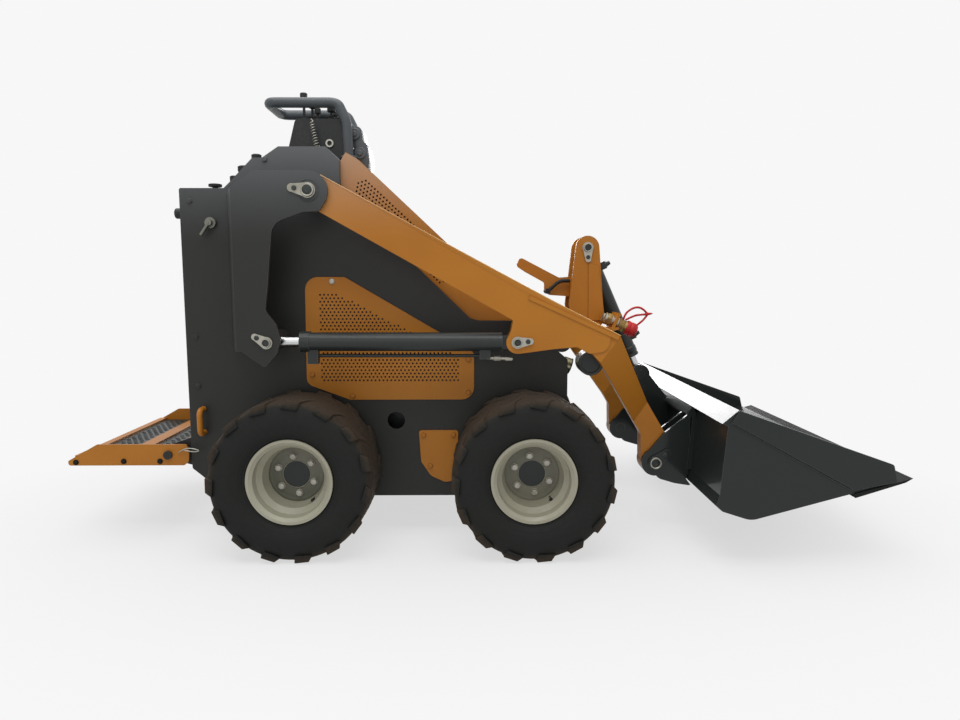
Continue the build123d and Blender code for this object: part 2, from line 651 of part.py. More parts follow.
# ---- lift cylinders -----------------------------------------------------
barrel_end = barrel_setback + barrel_length
gland_length = 27.0
port_at = barrel_end - 50.0
pipe_drop = barrel_r + 13.0
port_drop = barrel_r + 36.0
bore_start = barrel_setback + 60
for side_name, side in sides.items():
    y = side * arm_mid
    y0, y1 = y - eye_t / 2, y + eye_t / 2

    def at(distance, lift=0.0):
        return along(lift_lug, lift_anchor, distance, lift)

    eye = bar_y(lift_lug, eye_r, y0, y1)
    neck = slab([at(0, -18), at(barrel_setback, -18), at(barrel_setback, 18), at(0, 18)], y0, y1)
    barrel = bar_between(at(barrel_setback), at(barrel_end), y, barrel_r)
    gland = bar_between(at(barrel_end - gland_length), at(barrel_end), y, barrel_r + 3)
    # The port blocks and the pipe between them hang below the barrel.
    blocks = []
    for start, drop in ((port_at, port_drop), (barrel_setback + 34, pipe_drop + pipe_r + 4)):
        rows = [at(start, barrel_r - 6), at(start + 30, barrel_r - 6), at(start + 30, drop),
                at(start, drop)]
        blocks.append(slab(rows, y - 13, y + 13))
    pipe = bar_between(at(barrel_setback + 40, pipe_drop), at(port_at + 4, pipe_drop), y, pipe_r)
    body = fuse([eye, neck, barrel, gland, *blocks, pipe])
    bore = bar_between(at(bore_start), at(barrel_end), y, rod_r + running_gap)
    write(f"lift_barrel_{side_name}", body - bar_y(lift_lug, cylinder_pin_r + running_gap, y0, y1) - bore)
    rod = bar_between(at(bore_start + 40), along(lift_anchor, lift_lug, eye_r - 4), y, rod_r)
    collar_ends = [along(lift_anchor, lift_lug, eye_r + 2), along(lift_anchor, lift_lug, eye_r + 16)]
    collar = bar_between(*collar_ends, y, rod_r + 1)
    write(f"lift_rod_{side_name}", fuse([rod, collar, bar_y(lift_anchor, eye_r, y0, y1)]))

# ---- tilt cylinder ------------------------------------------------------
tilt_length = hypot(tilt_top[0] - tilt_low[0], tilt_top[1] - tilt_low[1])
tilt_barrel_start = 36.0
tilt_barrel_end = tilt_length - 100.0
tilt_bore_start = 58.0


def down(distance, lift=0.0):
    return along(tilt_top, tilt_low, distance, lift)


barrel = bar_between(down(tilt_barrel_start), down(tilt_barrel_end), 0, tilt_barrel_r - 4)
gland = bar_between(down(tilt_barrel_end - 30), down(tilt_barrel_end), 0, tilt_barrel_r)
base = bar_between(down(tilt_barrel_start), down(tilt_barrel_start + 22), 0, tilt_barrel_r)
neck = bar_between(down(24), down(40), 0, 16)
port = slab([down(tilt_barrel_end - 78, 20), down(tilt_barrel_end - 52, 20), down(tilt_barrel_end - 52, 42),
             down(tilt_barrel_end - 78, 42)], -12, 12)
spike = bar_between(down(tilt_barrel_end - 65, 40), down(tilt_barrel_end - 65, 56), 0, 7)
eye_half = tilt_eye_t / 2
pin_hole = bar_y(tilt_top, tilt_pin_r + running_gap, -eye_half, eye_half)
bore = bar_between(down(tilt_bore_start), down(tilt_barrel_end), 0, tilt_rod_r + running_gap)
body = fuse([bar_y(tilt_top, 28, -eye_half, eye_half), neck, base, barrel, gland, port, spike])
write("tilt_barrel", body - bore - pin_hole)
rod = bar_between(down(tilt_bore_start + 34), along(tilt_low, tilt_top, 24), 0, tilt_rod_r)
write("tilt_rod", fuse([rod, bar_y(tilt_low, 30, -eye_half, eye_half)]))

# ---- mount plate --------------------------------------------------------
wall_foot = (691.0, 207.0)
wall_top = (705.0, 401.0)
plate_low = along(wall_foot, wall_top, 2)
plate_high = along(wall_foot, wall_top, 178)
mount = slab([plate_low, plate_high, (plate_high[0] - plate_t, plate_high[1]),
              (plate_low[0] - plate_t, plate_low[1])],
             -plate_half, plate_half)
hook = slab([(679, 372), (676, 380), (690, 403), (697, 398), (plate_high[0] - 2, plate_high[1] - 2),
             (691, 372)],
            -plate_half, plate_half)
rib = slab([(664, 372), (664, 386), (679, 400), (684, 396), (690, 360), (676, 356)], -5, 5)
mount_ear = [
    (bucket_pin[0] - 40, bucket_pin[1] + 12), (606, 320, 20), (678, 378), (686, 378),
    (plate_low[0] - 4, plate_low[1]),
    (679.5, 177), (694, 158), (688, 156, 4), (644, 163, 20), (594, 178, 30),
]
tilt_ear = [
    (tilt_low[0] - 30, tilt_low[1] - 6), (tilt_low[0] + 4, tilt_low[1] + 31), (676, 400), (686, 372),
    (plate_low[0] - 4, plate_low[1] + 40), (tilt_low[0] - 14, tilt_low[1] - 26),
]
# Rows: outline, pin centre, boss radius, pin radius, inner and outer face.
ear_rows = [
    (mount_ear, bucket_pin, foot_r, boom_pin_r, leg_outer + side_gap, leg_outer + side_gap + ear_in),
    (mount_ear, bucket_pin, foot_r, boom_pin_r, leg_outer - leg_t - side_gap - ear_in,
     leg_outer - leg_t - side_gap),
    (tilt_ear, tilt_low, 32, tilt_pin_r, eye_half + 2, eye_half + 2 + tilt_ear_t),
]
mount_ears = []
for rows, centre, radius, pin_r, y0, y1 in ear_rows:
    for side in (-1, 1):
        plate = fuse([slab(rows, side * y0, side * y1), bar_y(centre, radius, side * y0, side * y1)])
        mount_ears.append(plate - bar_y(centre, pin_r + pin_fit, side * y0, side * y1))
write("mount_plate", fuse([mount, hook, rib, *mount_ears]))

mount_pins = []
for side in (-1, 1):
    inner = side * (leg_outer - leg_t - side_gap - ear_in)
    mount_pins.append(flagged_pin(bucket_pin, boom_pin_r, inner, side * (leg_outer + side_gap + ear_in),
                                  (1, 0.9), 22))
    mount_pins.append(bar_y(tilt_low, tilt_pin_r, side * (eye_half + 2),
                            side * (eye_half + 2 + tilt_ear_t + 6)))
write("mount_pins", *mount_pins)

# ---- bucket -------------------------------------------------------------
spill = (734.0, 442.0)
heel_back = (700.0, 161.0)
heel = (780.0, 135.0)
lip_x = 1214.0
floor_rise = 0.275
edge_start_x = 1060.0
edge_t = 12.0
side_end_x = 1172.0
side_tip = (1160.0, 292.0)


def floor_z(x):
    return heel[1] + (x - heel[0]) * floor_rise


side_low = (side_end_x, floor_z(side_end_x))
bucket_outline = [spill, (690, 405), (wall_top[0] + 1, wall_top[1] - 3), wall_foot, (682, 177),
                  (*heel_back, 16),
                  (*heel, 60), side_low, (*side_tip, 10)]
inside_outline = [(736, 430), (712, 400), (wall_foot[0] + shell_t, wall_foot[1]), (692, 182),
                  (707, 168, 10),
                  (heel[0] + 1, heel[1] + shell_t, 55), (side_end_x, side_low[1] + shell_t + 2),
                  (1190, 500), (740, 500)]
side_skin = bucket_half - doubler_t
bucket = slab(bucket_outline, -side_skin, side_skin)
bucket = bucket - slab(inside_outline, side_t - bucket_half, bucket_half - side_t)
doubler = [spill, (714, 408), (edge_start_x - 4, floor_z(edge_start_x) + 10, 20), side_low, (*side_tip, 10)]
doublers = [slab(doubler, side * side_skin, side * bucket_half) for side in (-1, 1)]
write("bucket", fuse([bucket, *doublers]))
edge = slab([(edge_start_x, floor_z(edge_start_x) - edge_t), (lip_x - 20, floor_z(lip_x) - edge_t),
             (lip_x, floor_z(lip_x)),
             (edge_start_x, floor_z(edge_start_x))], -bucket_half, bucket_half)
write("cutting_edge", edge)

# ---- platform -----------------------------------------------------------
rail_in = platform_half - rail_t
rail_outline = [(platform_tip_x, 241, 5), (-1124, 292, 12), (-852, 292, 10), (-846, 262), (-848, 238, 12),
                (-862, 227, 8), (platform_tip_x + 1, 227, 8)]
rails = []
for side in (-1, 1):
    rail = slab(rail_outline, side * platform_half, side * rail_in)
    rails.append(rail - bar_y(platform_pivot, hinge_r + running_gap, side * rail_in, side * platform_half))
# Rows: rear and front of each cross strip, from the platform's tip.
strip_steps = ((19, 44), (152, 196), (269, 289))
strip_rows = [(platform_tip_x + rear, platform_tip_x + front) for rear, front in strip_steps]
deck_z = platform_pivot[1] - 13
strips = [box(x0, x1, -rail_in, rail_in, deck_z - 11, deck_z + 10) for x0, x1 in strip_rows]
write("platform_frame", fuse([*rails, *strips]))
decks = [box(x0, x1, -rail_in, rail_in, deck_z - 3, deck_z + 3) for (_, x0), (x1, _) in zip(strip_rows, strip_rows[1:])]
write("platform_deck", *decks)
brackets = []
for side in (-1, 1):
    rows = [(rear_x, 310), (-900, 290, 10), (-924, 262, 16), (-900, 236, 10), (rear_x, 222)]
    plate = slab(rows, side * (bracket_outer - 12), side * bracket_outer)
    pin = bar_y(platform_pivot, hinge_r, side * bracket_outer, side * (platform_half + 6))
    head = bar_y(platform_pivot, hinge_r + 5, side * (platform_half + 1), side * (platform_half + 8))
    brackets.append(fuse([plate, pin, head]))
write("platform_brackets", *brackets)
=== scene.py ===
import json
import math

import bpy
from mathutils import Matrix, Vector


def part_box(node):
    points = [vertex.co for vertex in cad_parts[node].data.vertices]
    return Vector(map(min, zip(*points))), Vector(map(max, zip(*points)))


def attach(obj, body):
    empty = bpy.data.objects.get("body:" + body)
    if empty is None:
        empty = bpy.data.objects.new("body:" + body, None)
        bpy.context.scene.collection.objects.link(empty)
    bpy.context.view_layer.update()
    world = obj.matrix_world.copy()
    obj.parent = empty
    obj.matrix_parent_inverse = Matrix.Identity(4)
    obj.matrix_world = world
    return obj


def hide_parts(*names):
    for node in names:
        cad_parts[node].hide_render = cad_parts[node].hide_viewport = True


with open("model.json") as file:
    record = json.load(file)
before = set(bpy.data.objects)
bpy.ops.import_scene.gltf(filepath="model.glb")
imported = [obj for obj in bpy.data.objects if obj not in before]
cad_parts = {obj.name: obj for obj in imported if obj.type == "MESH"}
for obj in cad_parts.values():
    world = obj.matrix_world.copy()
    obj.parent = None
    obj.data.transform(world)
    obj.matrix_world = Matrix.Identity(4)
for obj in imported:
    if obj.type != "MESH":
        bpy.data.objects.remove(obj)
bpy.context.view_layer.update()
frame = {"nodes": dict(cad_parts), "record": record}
bothSides = ((-1, "right"), (1, "left"))
print("stage: frame loaded")


# A socket wrapped so that shader maths reads as plain expressions.
class Wire:
    def __init__(self, shader, socket):
        self.shader = shader
        self.socket = socket

    def maths(self, operation, *others):
        values = {i: value for i, value in enumerate((self, *others))}
        return self.shader.node("ShaderNodeMath", {"operation": operation}, values)

    def __add__(self, other):
        return self.maths("ADD", other)

    def __sub__(self, other):
        return self.maths("SUBTRACT", other)

    def __mul__(self, other):
        return self.maths("MULTIPLY", other)

    def __rsub__(self, other):
        return self.shader.node("ShaderNodeMath", {"operation": "SUBTRACT"}, {0: other, 1: self})

    __radd__ = __add__
    __rmul__ = __mul__

    def ramp(self, low, high):
        bounds = {0: self, 1: low, 2: high, 3: 0.0, 4: 1.0}
        return self.shader.node("ShaderNodeMapRange", {"interpolation_type": "SMOOTHSTEP"}, bounds)


# The nodes of one material or of the world.
class Shader:
    def __init__(self, owner):
        self.owner = owner
        owner.use_nodes = True
        self.tree = owner.node_tree
        self.tree.nodes.clear()

    # Any node: its settings are set first, then the values or links of its sockets.
    def node(self, kind, settings=None, sockets=None, out=0):
        made = self.tree.nodes.new(kind)
        for key, value in (settings or {}).items():
            setattr(made, key, value)
        for key, value in (sockets or {}).items():
            if isinstance(value, Wire):
                self.tree.links.new(value.socket, made.inputs[key])
            else:
                made.inputs[key].default_value = value
        return Wire(self, made.outputs[out]) if len(made.outputs) else None

    def place(self):
        return self.node("ShaderNodeTexCoord", out="Object")

    def height(self):
        return self.node("ShaderNodeSeparateXYZ", {}, {0: self.place()}, out=2)

    def stretched(self, where, scale):
        return self.node("ShaderNodeMapping", {}, {"Vector": where, "Scale": scale})

    def noise(self, scale, detail, where=None):
        sockets = {"Vector": where or self.place(), "Scale": scale, "Detail": detail, "Roughness": 0.55}
        return self.node("ShaderNodeTexNoise", {}, sockets)

    def blend(self, amount, first, second):
        colours = {"Factor": amount, 6: first, 7: second}
        return self.node("ShaderNodeMix", {"data_type": "RGBA", "blend_type": "MIX"}, colours, out=2)

    # How much a spot lies on an outer edge, from the bevelled normal against the flat one.
    def edge(self, radius):
        bent = self.node("ShaderNodeBevel", {"samples": 4}, {"Radius": radius})
        flat = self.node("ShaderNodeNewGeometry", out="Normal")
        dot = self.node("ShaderNodeVectorMath", {"operation": "DOT_PRODUCT"}, {0: bent, 1: flat}, out="Value")
        return 1.0 - dot

    def bump(self, height, distance, strength, normal=None):
        sockets = {"Height": height, "Distance": distance, "Strength": strength}
        if normal is not None:
            sockets["Normal"] = normal
        return self.node("ShaderNodeBump", {}, sockets)

    # One for every kind of ray that is named, and nought for the others.
    def rays(self, *names):
        found = self.node("ShaderNodeLightPath", out=names[0])
        for name in names[1:]:
            found = found.maths("MAXIMUM", self.node("ShaderNodeLightPath", out=name))
        return found

    def finish(self, colour, roughness, metallic, normal, constants=None):
        sockets = {"Base Color": colour, "Roughness": roughness, "Metallic": metallic, "Normal": normal}
        body = self.node("ShaderNodeBsdfPrincipled", {}, {**sockets, **(constants or {})})
        self.node("ShaderNodeOutputMaterial", {}, {"Surface": body})
        return self.owner


# Colours are written as 0-255 screen values and turned to linear light.
def screen(red, green, blue):
    def linear(value):
        value /= 255
        return value / 12.92 if value <= 0.04045 else ((value + 0.055) / 1.055) ** 2.4

    return (linear(red), linear(green), linear(blue), 1.0)


# What all paints share: noise scales, where wear, dust and the paler painted light higher up start and how
# softly, and relief in metres.
paintFilm = {
    "broad": 2.3, "fine": 38, "peel": 420, "wearGain": 6.0, "wearStart": 1.15, "wearSoft": 0.35,
    "dustFall": -2.2, "dustBase": 0.9, "dustBroad": 0.6, "dustFine": 0.35, "dustStart": 0.95, "dustSoft": 0.9,
    "cloud": (0.3, 0.75), "cloudShare": 0.5, "hazeLightHeights": (0.88, 1.3),
    "roughFine": 0.14, "roughBroad": 0.1, "roughDust": 0.35,
    "grain": (0.0006, 0.12), "orangePeel": (0.0003, 0.25), "coatRough": 0.12,
}


def paint(name, colour, worn, settings):
    s = Shader(bpy.data.materials.new(name))
    film = paintFilm
    broad = s.noise(film["broad"], 3)
    fine = s.noise(film["fine"], 5)
    peel = s.noise(film["peel"], 2)
    rubbed = s.edge(settings["edge"]) * film["wearGain"] + fine - film["wearStart"]
    edge = rubbed.ramp(0.0, film["wearSoft"]) * settings["wear"]
    # Dust gathers towards the bottom; on the orange its colour is a darker orange, painted shade where less
    # light reaches low down.
    low = s.height() * film["dustFall"] + film["dustBase"]
    settled = low + broad * film["dustBroad"] + fine * film["dustFine"] - film["dustStart"]
    dust = settled.ramp(0.0, film["dustSoft"]) * settings["dust"]
    shade = s.blend(broad.ramp(*film["cloud"]) * film["cloudShare"], colour, settings["shade"])
    # Painted light: higher up the colour turns paler, for the haze and glare that light the top of the
    # machine.
    shade = s.blend(s.height().ramp(*film["hazeLightHeights"]) * settings["fade"], shade, settings["hazeLightColour"])
    shade = s.blend(dust, shade, settings["dustAndShadeColour"])
    shade = s.blend(edge, shade, worn)
    rough = fine * film["roughFine"] + broad * film["roughBroad"] + settings["rough"]
    rough = rough + dust * film["roughDust"]
    normal = s.bump(peel, *film["orangePeel"], s.bump(fine, *film["grain"]))
    coat = {"Coat Weight": settings["coat"], "Coat Roughness": film["coatRough"]}
    return s.finish(shade, rough, 0.0, normal, {"Specular IOR Level": settings["gloss"], **coat})


metalFilm = {"broad": 9, "fine": 160, "cloud": (0.45, 0.8), "roughFine": 0.2, "roughBroad": 0.12,
             "grain": (0.0002, 0.3)}


def metal(name, colour, dark, rough, grain=(1, 1, 1), stain=0.35):
    s = Shader(bpy.data.materials.new(name))
    broad = s.noise(metalFilm["broad"], 4)
    fine = s.noise(metalFilm["fine"], 4, where=s.stretched(s.place(), grain))
    shade = s.blend(broad.ramp(*metalFilm["cloud"]) * stain, colour, dark)
    roughness = fine * metalFilm["roughFine"] + broad * metalFilm["roughBroad"] + rough
    return s.finish(shade, roughness, 1.0, s.bump(fine, *metalFilm["grain"]))


# Mud lies on the tread, which the attribute of that name marks, and a thin film of dust on the rest.
tyreFilm = {"broad": 6, "fine": 80, "dustStart": 0.72, "dustAmount": 0.30, "mudStart": 0.35,
            "mudAmount": 0.62, "soft": 0.5, "rough": 0.66, "gloss": 0.3, "grain": (0.0015, 0.4)}


def tyreRubber(name, colour, dust, mud):
    s = Shader(bpy.data.materials.new(name))
    film = tyreFilm
    broad = s.noise(film["broad"], 4)
    fine = s.noise(film["fine"], 5)
    named = {"attribute_name": "tread", "attribute_type": "GEOMETRY"}
    tread = s.node("ShaderNodeAttribute", named, out="Fac")
    thin = (broad * 0.9 + fine * 0.5 - film["dustStart"]).ramp(0.0, film["soft"]) * film["dustAmount"]
    patches = (broad + fine - 1.0) * 0.8
    dirt = ((tread - film["mudStart"]) + patches).ramp(0.0, film["soft"]) * film["mudAmount"]
    shade = s.blend(dirt, s.blend(thin, colour, dust), mud)
    rough = fine * 0.15 + dirt * 0.12 + film["rough"]
    return s.finish(shade, rough, 0.0, s.bump(fine, *film["grain"]), {"Specular IOR Level": film["gloss"]})


rubberFilm = {"broad": 7, "fine": 90, "dustStart": 0.75, "soft": 0.4, "gloss": 0.35, "grain": (0.0012, 0.35)}


def rubber(name, colour, dust, amount, rough):
    s = Shader(bpy.data.materials.new(name))
    film = rubberFilm
    broad = s.noise(film["broad"], 4)
    fine = s.noise(film["fine"], 5)
    mask = (broad * 0.9 + fine * 0.6 - film["dustStart"]).ramp(0.0, film["soft"]) * amount
    shade = s.blend(mask, colour, dust)
    normal = s.bump(fine, *film["grain"])
    return s.finish(shade, fine * 0.18 + rough, 0.0, normal, {"Specular IOR Level": film["gloss"]})


# Each paint's coat, gloss, edge radius, wear, dust, roughness and darker shade, and how much paler painted
# light it takes higher up, standing in for haze and glare.
paintSettings = {
    "orange": {
        "coat": 0.05, "gloss": 0.25, "edge": 0.003, "wear": 0.6, "dust": 0.7, "rough": 0.3, "fade": 0.85,
        # The orange's low colour is a darker orange: painted shade towards the bottom.
        "shade": screen(158, 94, 26), "dustAndShadeColour": screen(108, 64, 18), "hazeLightColour": screen(196, 166, 142),
    },
    "grey": {
        "coat": 0.0, "gloss": 0.28, "edge": 0.003, "wear": 0.45, "dust": 0.5, "rough": 0.36, "fade": 0.8,
        "shade": screen(40, 40, 37), "dustAndShadeColour": screen(84, 82, 74), "hazeLightColour": screen(120, 124, 127),
    },
    "black": {
        "coat": 0.1, "gloss": 0.32, "edge": 0.003, "wear": 0.6, "dust": 0.3, "rough": 0.3, "fade": 0.3,
        "shade": screen(30, 34, 33), "dustAndShadeColour": screen(62, 64, 60), "hazeLightColour": screen(88, 94, 97),
    },
    "rim": {
        "coat": 0.1, "gloss": 0.45, "edge": 0.002, "wear": 0.5, "dust": 0.55, "rough": 0.38, "fade": 0.0,
        "shade": screen(150, 144, 126), "dustAndShadeColour": screen(120, 104, 80), "hazeLightColour": screen(88, 94, 97),
    },
}
finishes = {
    "orange_paint": paint("orangePaint", screen(186, 120, 38), screen(96, 62, 34), paintSettings["orange"]),
    "grey_paint": paint("greyPaint", screen(44, 44, 42), screen(100, 98, 92), paintSettings["grey"]),
    "black_paint": paint("blackPaint", screen(38, 43, 41), screen(112, 114, 112), paintSettings["black"]),
    "rim_paint": paint("rimPaint", screen(172, 170, 150), screen(112, 84, 58), paintSettings["rim"]),
    "bright_steel": metal("brightSteel", screen(168, 166, 156), screen(104, 98, 84), 0.34, stain=0.6),
    "chrome_rod": metal("chromeRod", screen(196, 198, 198), screen(150, 150, 148), 0.08, stain=0.15),
    "worn_steel": metal("wornSteel", screen(46, 48, 46), screen(32, 30, 27), 0.55, (1, 0.05, 1), 0.6),
    "tyre_rubber": tyreRubber("tyreRubber", screen(20, 22, 19), screen(44, 40, 33), screen(66, 53, 40)),
    "black_rubber": rubber("blackRubber", screen(24, 24, 25), screen(70, 66, 58), 0.3, 0.6),
    "black_plastic": rubber("blackPlastic", screen(30, 31, 32), screen(84, 82, 76), 0.3, 0.42),
    "lamp_glass": metal("lampGlass", screen(150, 150, 120), screen(90, 90, 70), 0.15),
    "red_plastic": rubber("redPlastic", screen(186, 34, 36), screen(120, 60, 50), 0.3, 0.35),
}
# The rim's disc takes the rim paint darkened: painted shade for the shadow inside the rim.
shadedRimDisc = paint("rimDiscPaintedShade", screen(84, 86, 72), screen(96, 70, 46), paintSettings["rim"])
for part in frame["record"]["subparts"]:
    node = frame["nodes"][part["node"]]
    node.data.materials.clear()
    node.data.materials.append(finishes[part["material_slot"]])
bucketSettings = {**paintSettings["black"], "coat": 0.45, "gloss": 0.15, "shade": screen(22, 28, 27)}
bucketPaint = paint("bucketPaint", screen(28, 34, 33), screen(100, 102, 100), bucketSettings)
for name in ("bucket", "mount_plate", "mount_pins"):
    frame["nodes"][name].data.materials[0] = bucketPaint
dullSteel = metal("dullSteel", screen(120, 120, 112), screen(72, 70, 62), 0.4)
frame["nodes"]["side_latches"].data.materials[0] = dullSteel
print("stage: finishes set")


def clearSelection():
    for item in list(bpy.context.selected_objects):
        item.select_set(False)


def nameNew(name):
    piece = bpy.context.object
    piece.name = name
    piece.data.name = name
    bpy.ops.object.transform_apply(location=True, rotation=True, scale=True)
    return piece


def startFrom(name, primitive, **options):
    clearSelection()
    getattr(bpy.ops.mesh, f"primitive_{primitive}_add")(**options)
    return nameNew(name)


def makeActive(piece):
    clearSelection()
    piece.select_set(True)
    bpy.context.view_layer.objects.active = piece


def editAll(piece):
    makeActive(piece)
    bpy.ops.object.mode_set(mode="EDIT")
    bpy.ops.mesh.select_all(action="SELECT")


def leaveEdit():
    bpy.ops.object.mode_set(mode="OBJECT")


def extrudeBy(step):
    bpy.ops.mesh.extrude_region_move(TRANSFORM_OT_translate={"value": step})


# Leaves the piece in edit mode with only the faces or points selected that pass the test.
def selectIn(piece, mode, test):
    makeActive(piece)
    bpy.ops.object.mode_set(mode="EDIT")
    bpy.ops.mesh.select_mode(type=mode)
    bpy.ops.mesh.select_all(action="DESELECT")
    leaveEdit()
    if mode == "FACE":
        for face in piece.data.polygons:
            face.select = test(face.center, face.normal)
    else:
        for point in piece.data.vertices:
            point.select = test(point.co)
    bpy.ops.object.mode_set(mode="EDIT")


def useModifier(piece, kind, **settings):
    makeActive(piece)
    modifier = piece.modifiers.new(kind.title(), kind)
    for key, value in settings.items():
        setattr(modifier, key, value)
    bpy.ops.object.modifier_apply(modifier=modifier.name)


def roundEdges(piece, width, segments=2, angle=30):
    sharp = math.radians(angle)
    useModifier(piece, "BEVEL", width=width, segments=segments, limit_method="ANGLE", angle_limit=sharp,
                harden_normals=False)


# A line of edges drawn point by point from a plane merged to its middle.
def drawLine(name, points, closed=False):
    piece = startFrom(name, "plane", size=0.001)
    bpy.ops.object.mode_set(mode="EDIT")
    bpy.ops.mesh.select_mode(type="VERT")
    bpy.ops.mesh.select_all(action="SELECT")
    bpy.ops.mesh.merge(type="CENTER")
    bpy.ops.transform.translate(value=Vector(points[0]))
    for start, end in zip(points, points[1:]):
        step = Vector(end) - Vector(start)
        bpy.ops.mesh.extrude_vertices_move(TRANSFORM_OT_translate={"value": step})
    if closed:
        bpy.ops.mesh.select_all(action="SELECT")
        bpy.ops.mesh.edge_face_add()
    leaveEdit()
    return piece


def mergeAndFace(piece, distance=1e-5):
    editAll(piece)
    bpy.ops.mesh.remove_doubles(threshold=distance)
    bpy.ops.mesh.dissolve_degenerate(threshold=distance / 2)
    bpy.ops.mesh.select_all(action="SELECT")
    bpy.ops.mesh.normals_make_consistent(inside=False)
    leaveEdit()


# Rows are radius and distance along +Z; the profile is spun about Z.
def turned(name, rows, steps=48, closed=False):
    points = [(radius, 0, along) for radius, along in rows]
    if closed:
        points.append(points[0])
    piece = drawLine(name, points)
    editAll(piece)
    bpy.ops.mesh.spin(steps=steps, angle=2 * math.pi, center=(0, 0, 0), axis=(0, 0, 1))
    leaveEdit()
    mergeAndFace(piece)
    return piece


# Rows are x and z, in metres; the plate fills from y to y + thickness.
def plate(name, rows, y, thickness, soften=0.0008):
    piece = drawLine(name, [(x, y, z) for x, z in rows], closed=True)
    editAll(piece)
    extrudeBy((0, thickness, 0))
    leaveEdit()
    mergeAndFace(piece)
    if soften:
        roundEdges(piece, soften)
    return piece


# A nut's or bolt head's hexagon stands on the plane Z = 0.
def hexagon(name, radius, length):
    middle = (0, 0, length / 2)
    return startFrom(name, "cylinder", vertices=6, radius=radius, depth=length, location=middle)


# The matrix that stands a piece at a place, with its +Z along the axis.
def aim(place, axis, turn=0.0):
    tilt = Vector(axis).to_track_quat("Z", "Y").to_matrix().to_4x4()
    return Matrix.Translation(place) @ tilt @ Matrix.Rotation(turn, 4, "Z")


def copied(source, name, matrix):
    mesh = source.data.copy()
    mesh.name = name
    mesh.transform(matrix)
    if matrix.determinant() < 0:
        mesh.flip_normals()
    piece = bpy.data.objects.new(name, mesh)
    bpy.context.scene.collection.objects.link(piece)
    return piece


def joined(name, pieces):
    clearSelection()
    for piece in pieces:
        piece.select_set(True)
    bpy.context.view_layer.objects.active = pieces[0]
    if len(pieces) > 1:
        bpy.ops.object.join()
    piece = bpy.context.object
    piece.name = piece.data.name = name
    return piece


def discard(*pieces):
    for piece in pieces:
        bpy.data.objects.remove(piece)


# A bar or hose along a smooth curve through the given points.
def softBar(name, points, radius, radii=None, detail=6):
    data = bpy.data.curves.new(name, "CURVE")
    data.dimensions = "3D"
    data.bevel_depth = radius
    data.bevel_resolution = 4
    data.use_fill_caps = True
    data.resolution_u = detail
    spline = data.splines.new("NURBS")
    spline.points.add(len(points) - 1)
    for i, point in enumerate(points):
        spline.points[i].co = (*point, 1.0)
        spline.points[i].radius = radii[i] if radii else 1.0
    spline.order_u = 3
    spline.use_endpoint_u = True
    drawn = bpy.data.objects.new(name + "Curve", data)
    bpy.context.scene.collection.objects.link(drawn)
    mesh = bpy.data.meshes.new_from_object(drawn.evaluated_get(bpy.context.evaluated_depsgraph_get()))
    mesh.name = name
    discard(drawn)
    piece = bpy.data.objects.new(name, mesh)
    bpy.context.scene.collection.objects.link(piece)
    mergeAndFace(piece)
    return piece


# A bar along straight runs, each corner rounded over the bend length.
def bentBar(name, points, bend, radius):
    rows = [Vector(points[0])]
    for before, here, after in zip(points, points[1:], points[2:]):
        corner = Vector(here)
        into, out = Vector(before) - corner, Vector(after) - corner
        rows.append(corner + into.normalized() * min(bend, into.length * 0.45))
        rows.append(corner)
        rows.append(corner + out.normalized() * min(bend, out.length * 0.45))
    rows.append(Vector(points[-1]))
    return softBar(name, rows, radius, detail=8)


# Every finished piece gets its finish, its smoothing and the body that carries it.
def finished(piece, body, slotName, *replacedNodes, angle=35, look=None):
    makeActive(piece)
    piece.data.materials.clear()
    piece.data.materials.append(look or finishes[slotName])
    for face in piece.data.polygons:
        face.material_index = 0
    bpy.ops.object.shade_smooth_by_angle(angle=math.radians(angle))
    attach(piece, body)
    if replacedNodes:
        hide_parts(*replacedNodes)


def boxOf(node):
    low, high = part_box(node)
    return Vector(low), Vector(high)


def centreOf(node):
    low, high = boxOf(node)
    return (low + high) / 2


# Corners of a closed outline; a third number rounds the corner by that radius.
def roundedOutline(rows, steps=5):
    points = []
    for i, row in enumerate(rows):
        here = Vector(row[:2])
        if len(row) < 3:
            points.append(tuple(here))
            continue
        before = (Vector(rows[i - 1][:2]) - here).normalized()
        after = (Vector(rows[(i + 1) % len(rows)][:2]) - here).normalized()
        half = before.angle(after) / 2
        reach = row[2] / math.tan(half)
        centre = here + (before + after).normalized() * row[2] / math.sin(half)
        start = here + before * reach - centre
        sweep = -start.angle_signed(here + after * reach - centre)
        for k in range(steps + 1):
            turn = sweep * k / steps
            x = start.x * math.cos(turn) - start.y * math.sin(turn)
            z = start.x * math.sin(turn) + start.y * math.cos(turn)
            points.append((centre.x + x, centre.y + z))
    return points


wheels = ("rear_left", "rear_right", "front_left", "front_right")

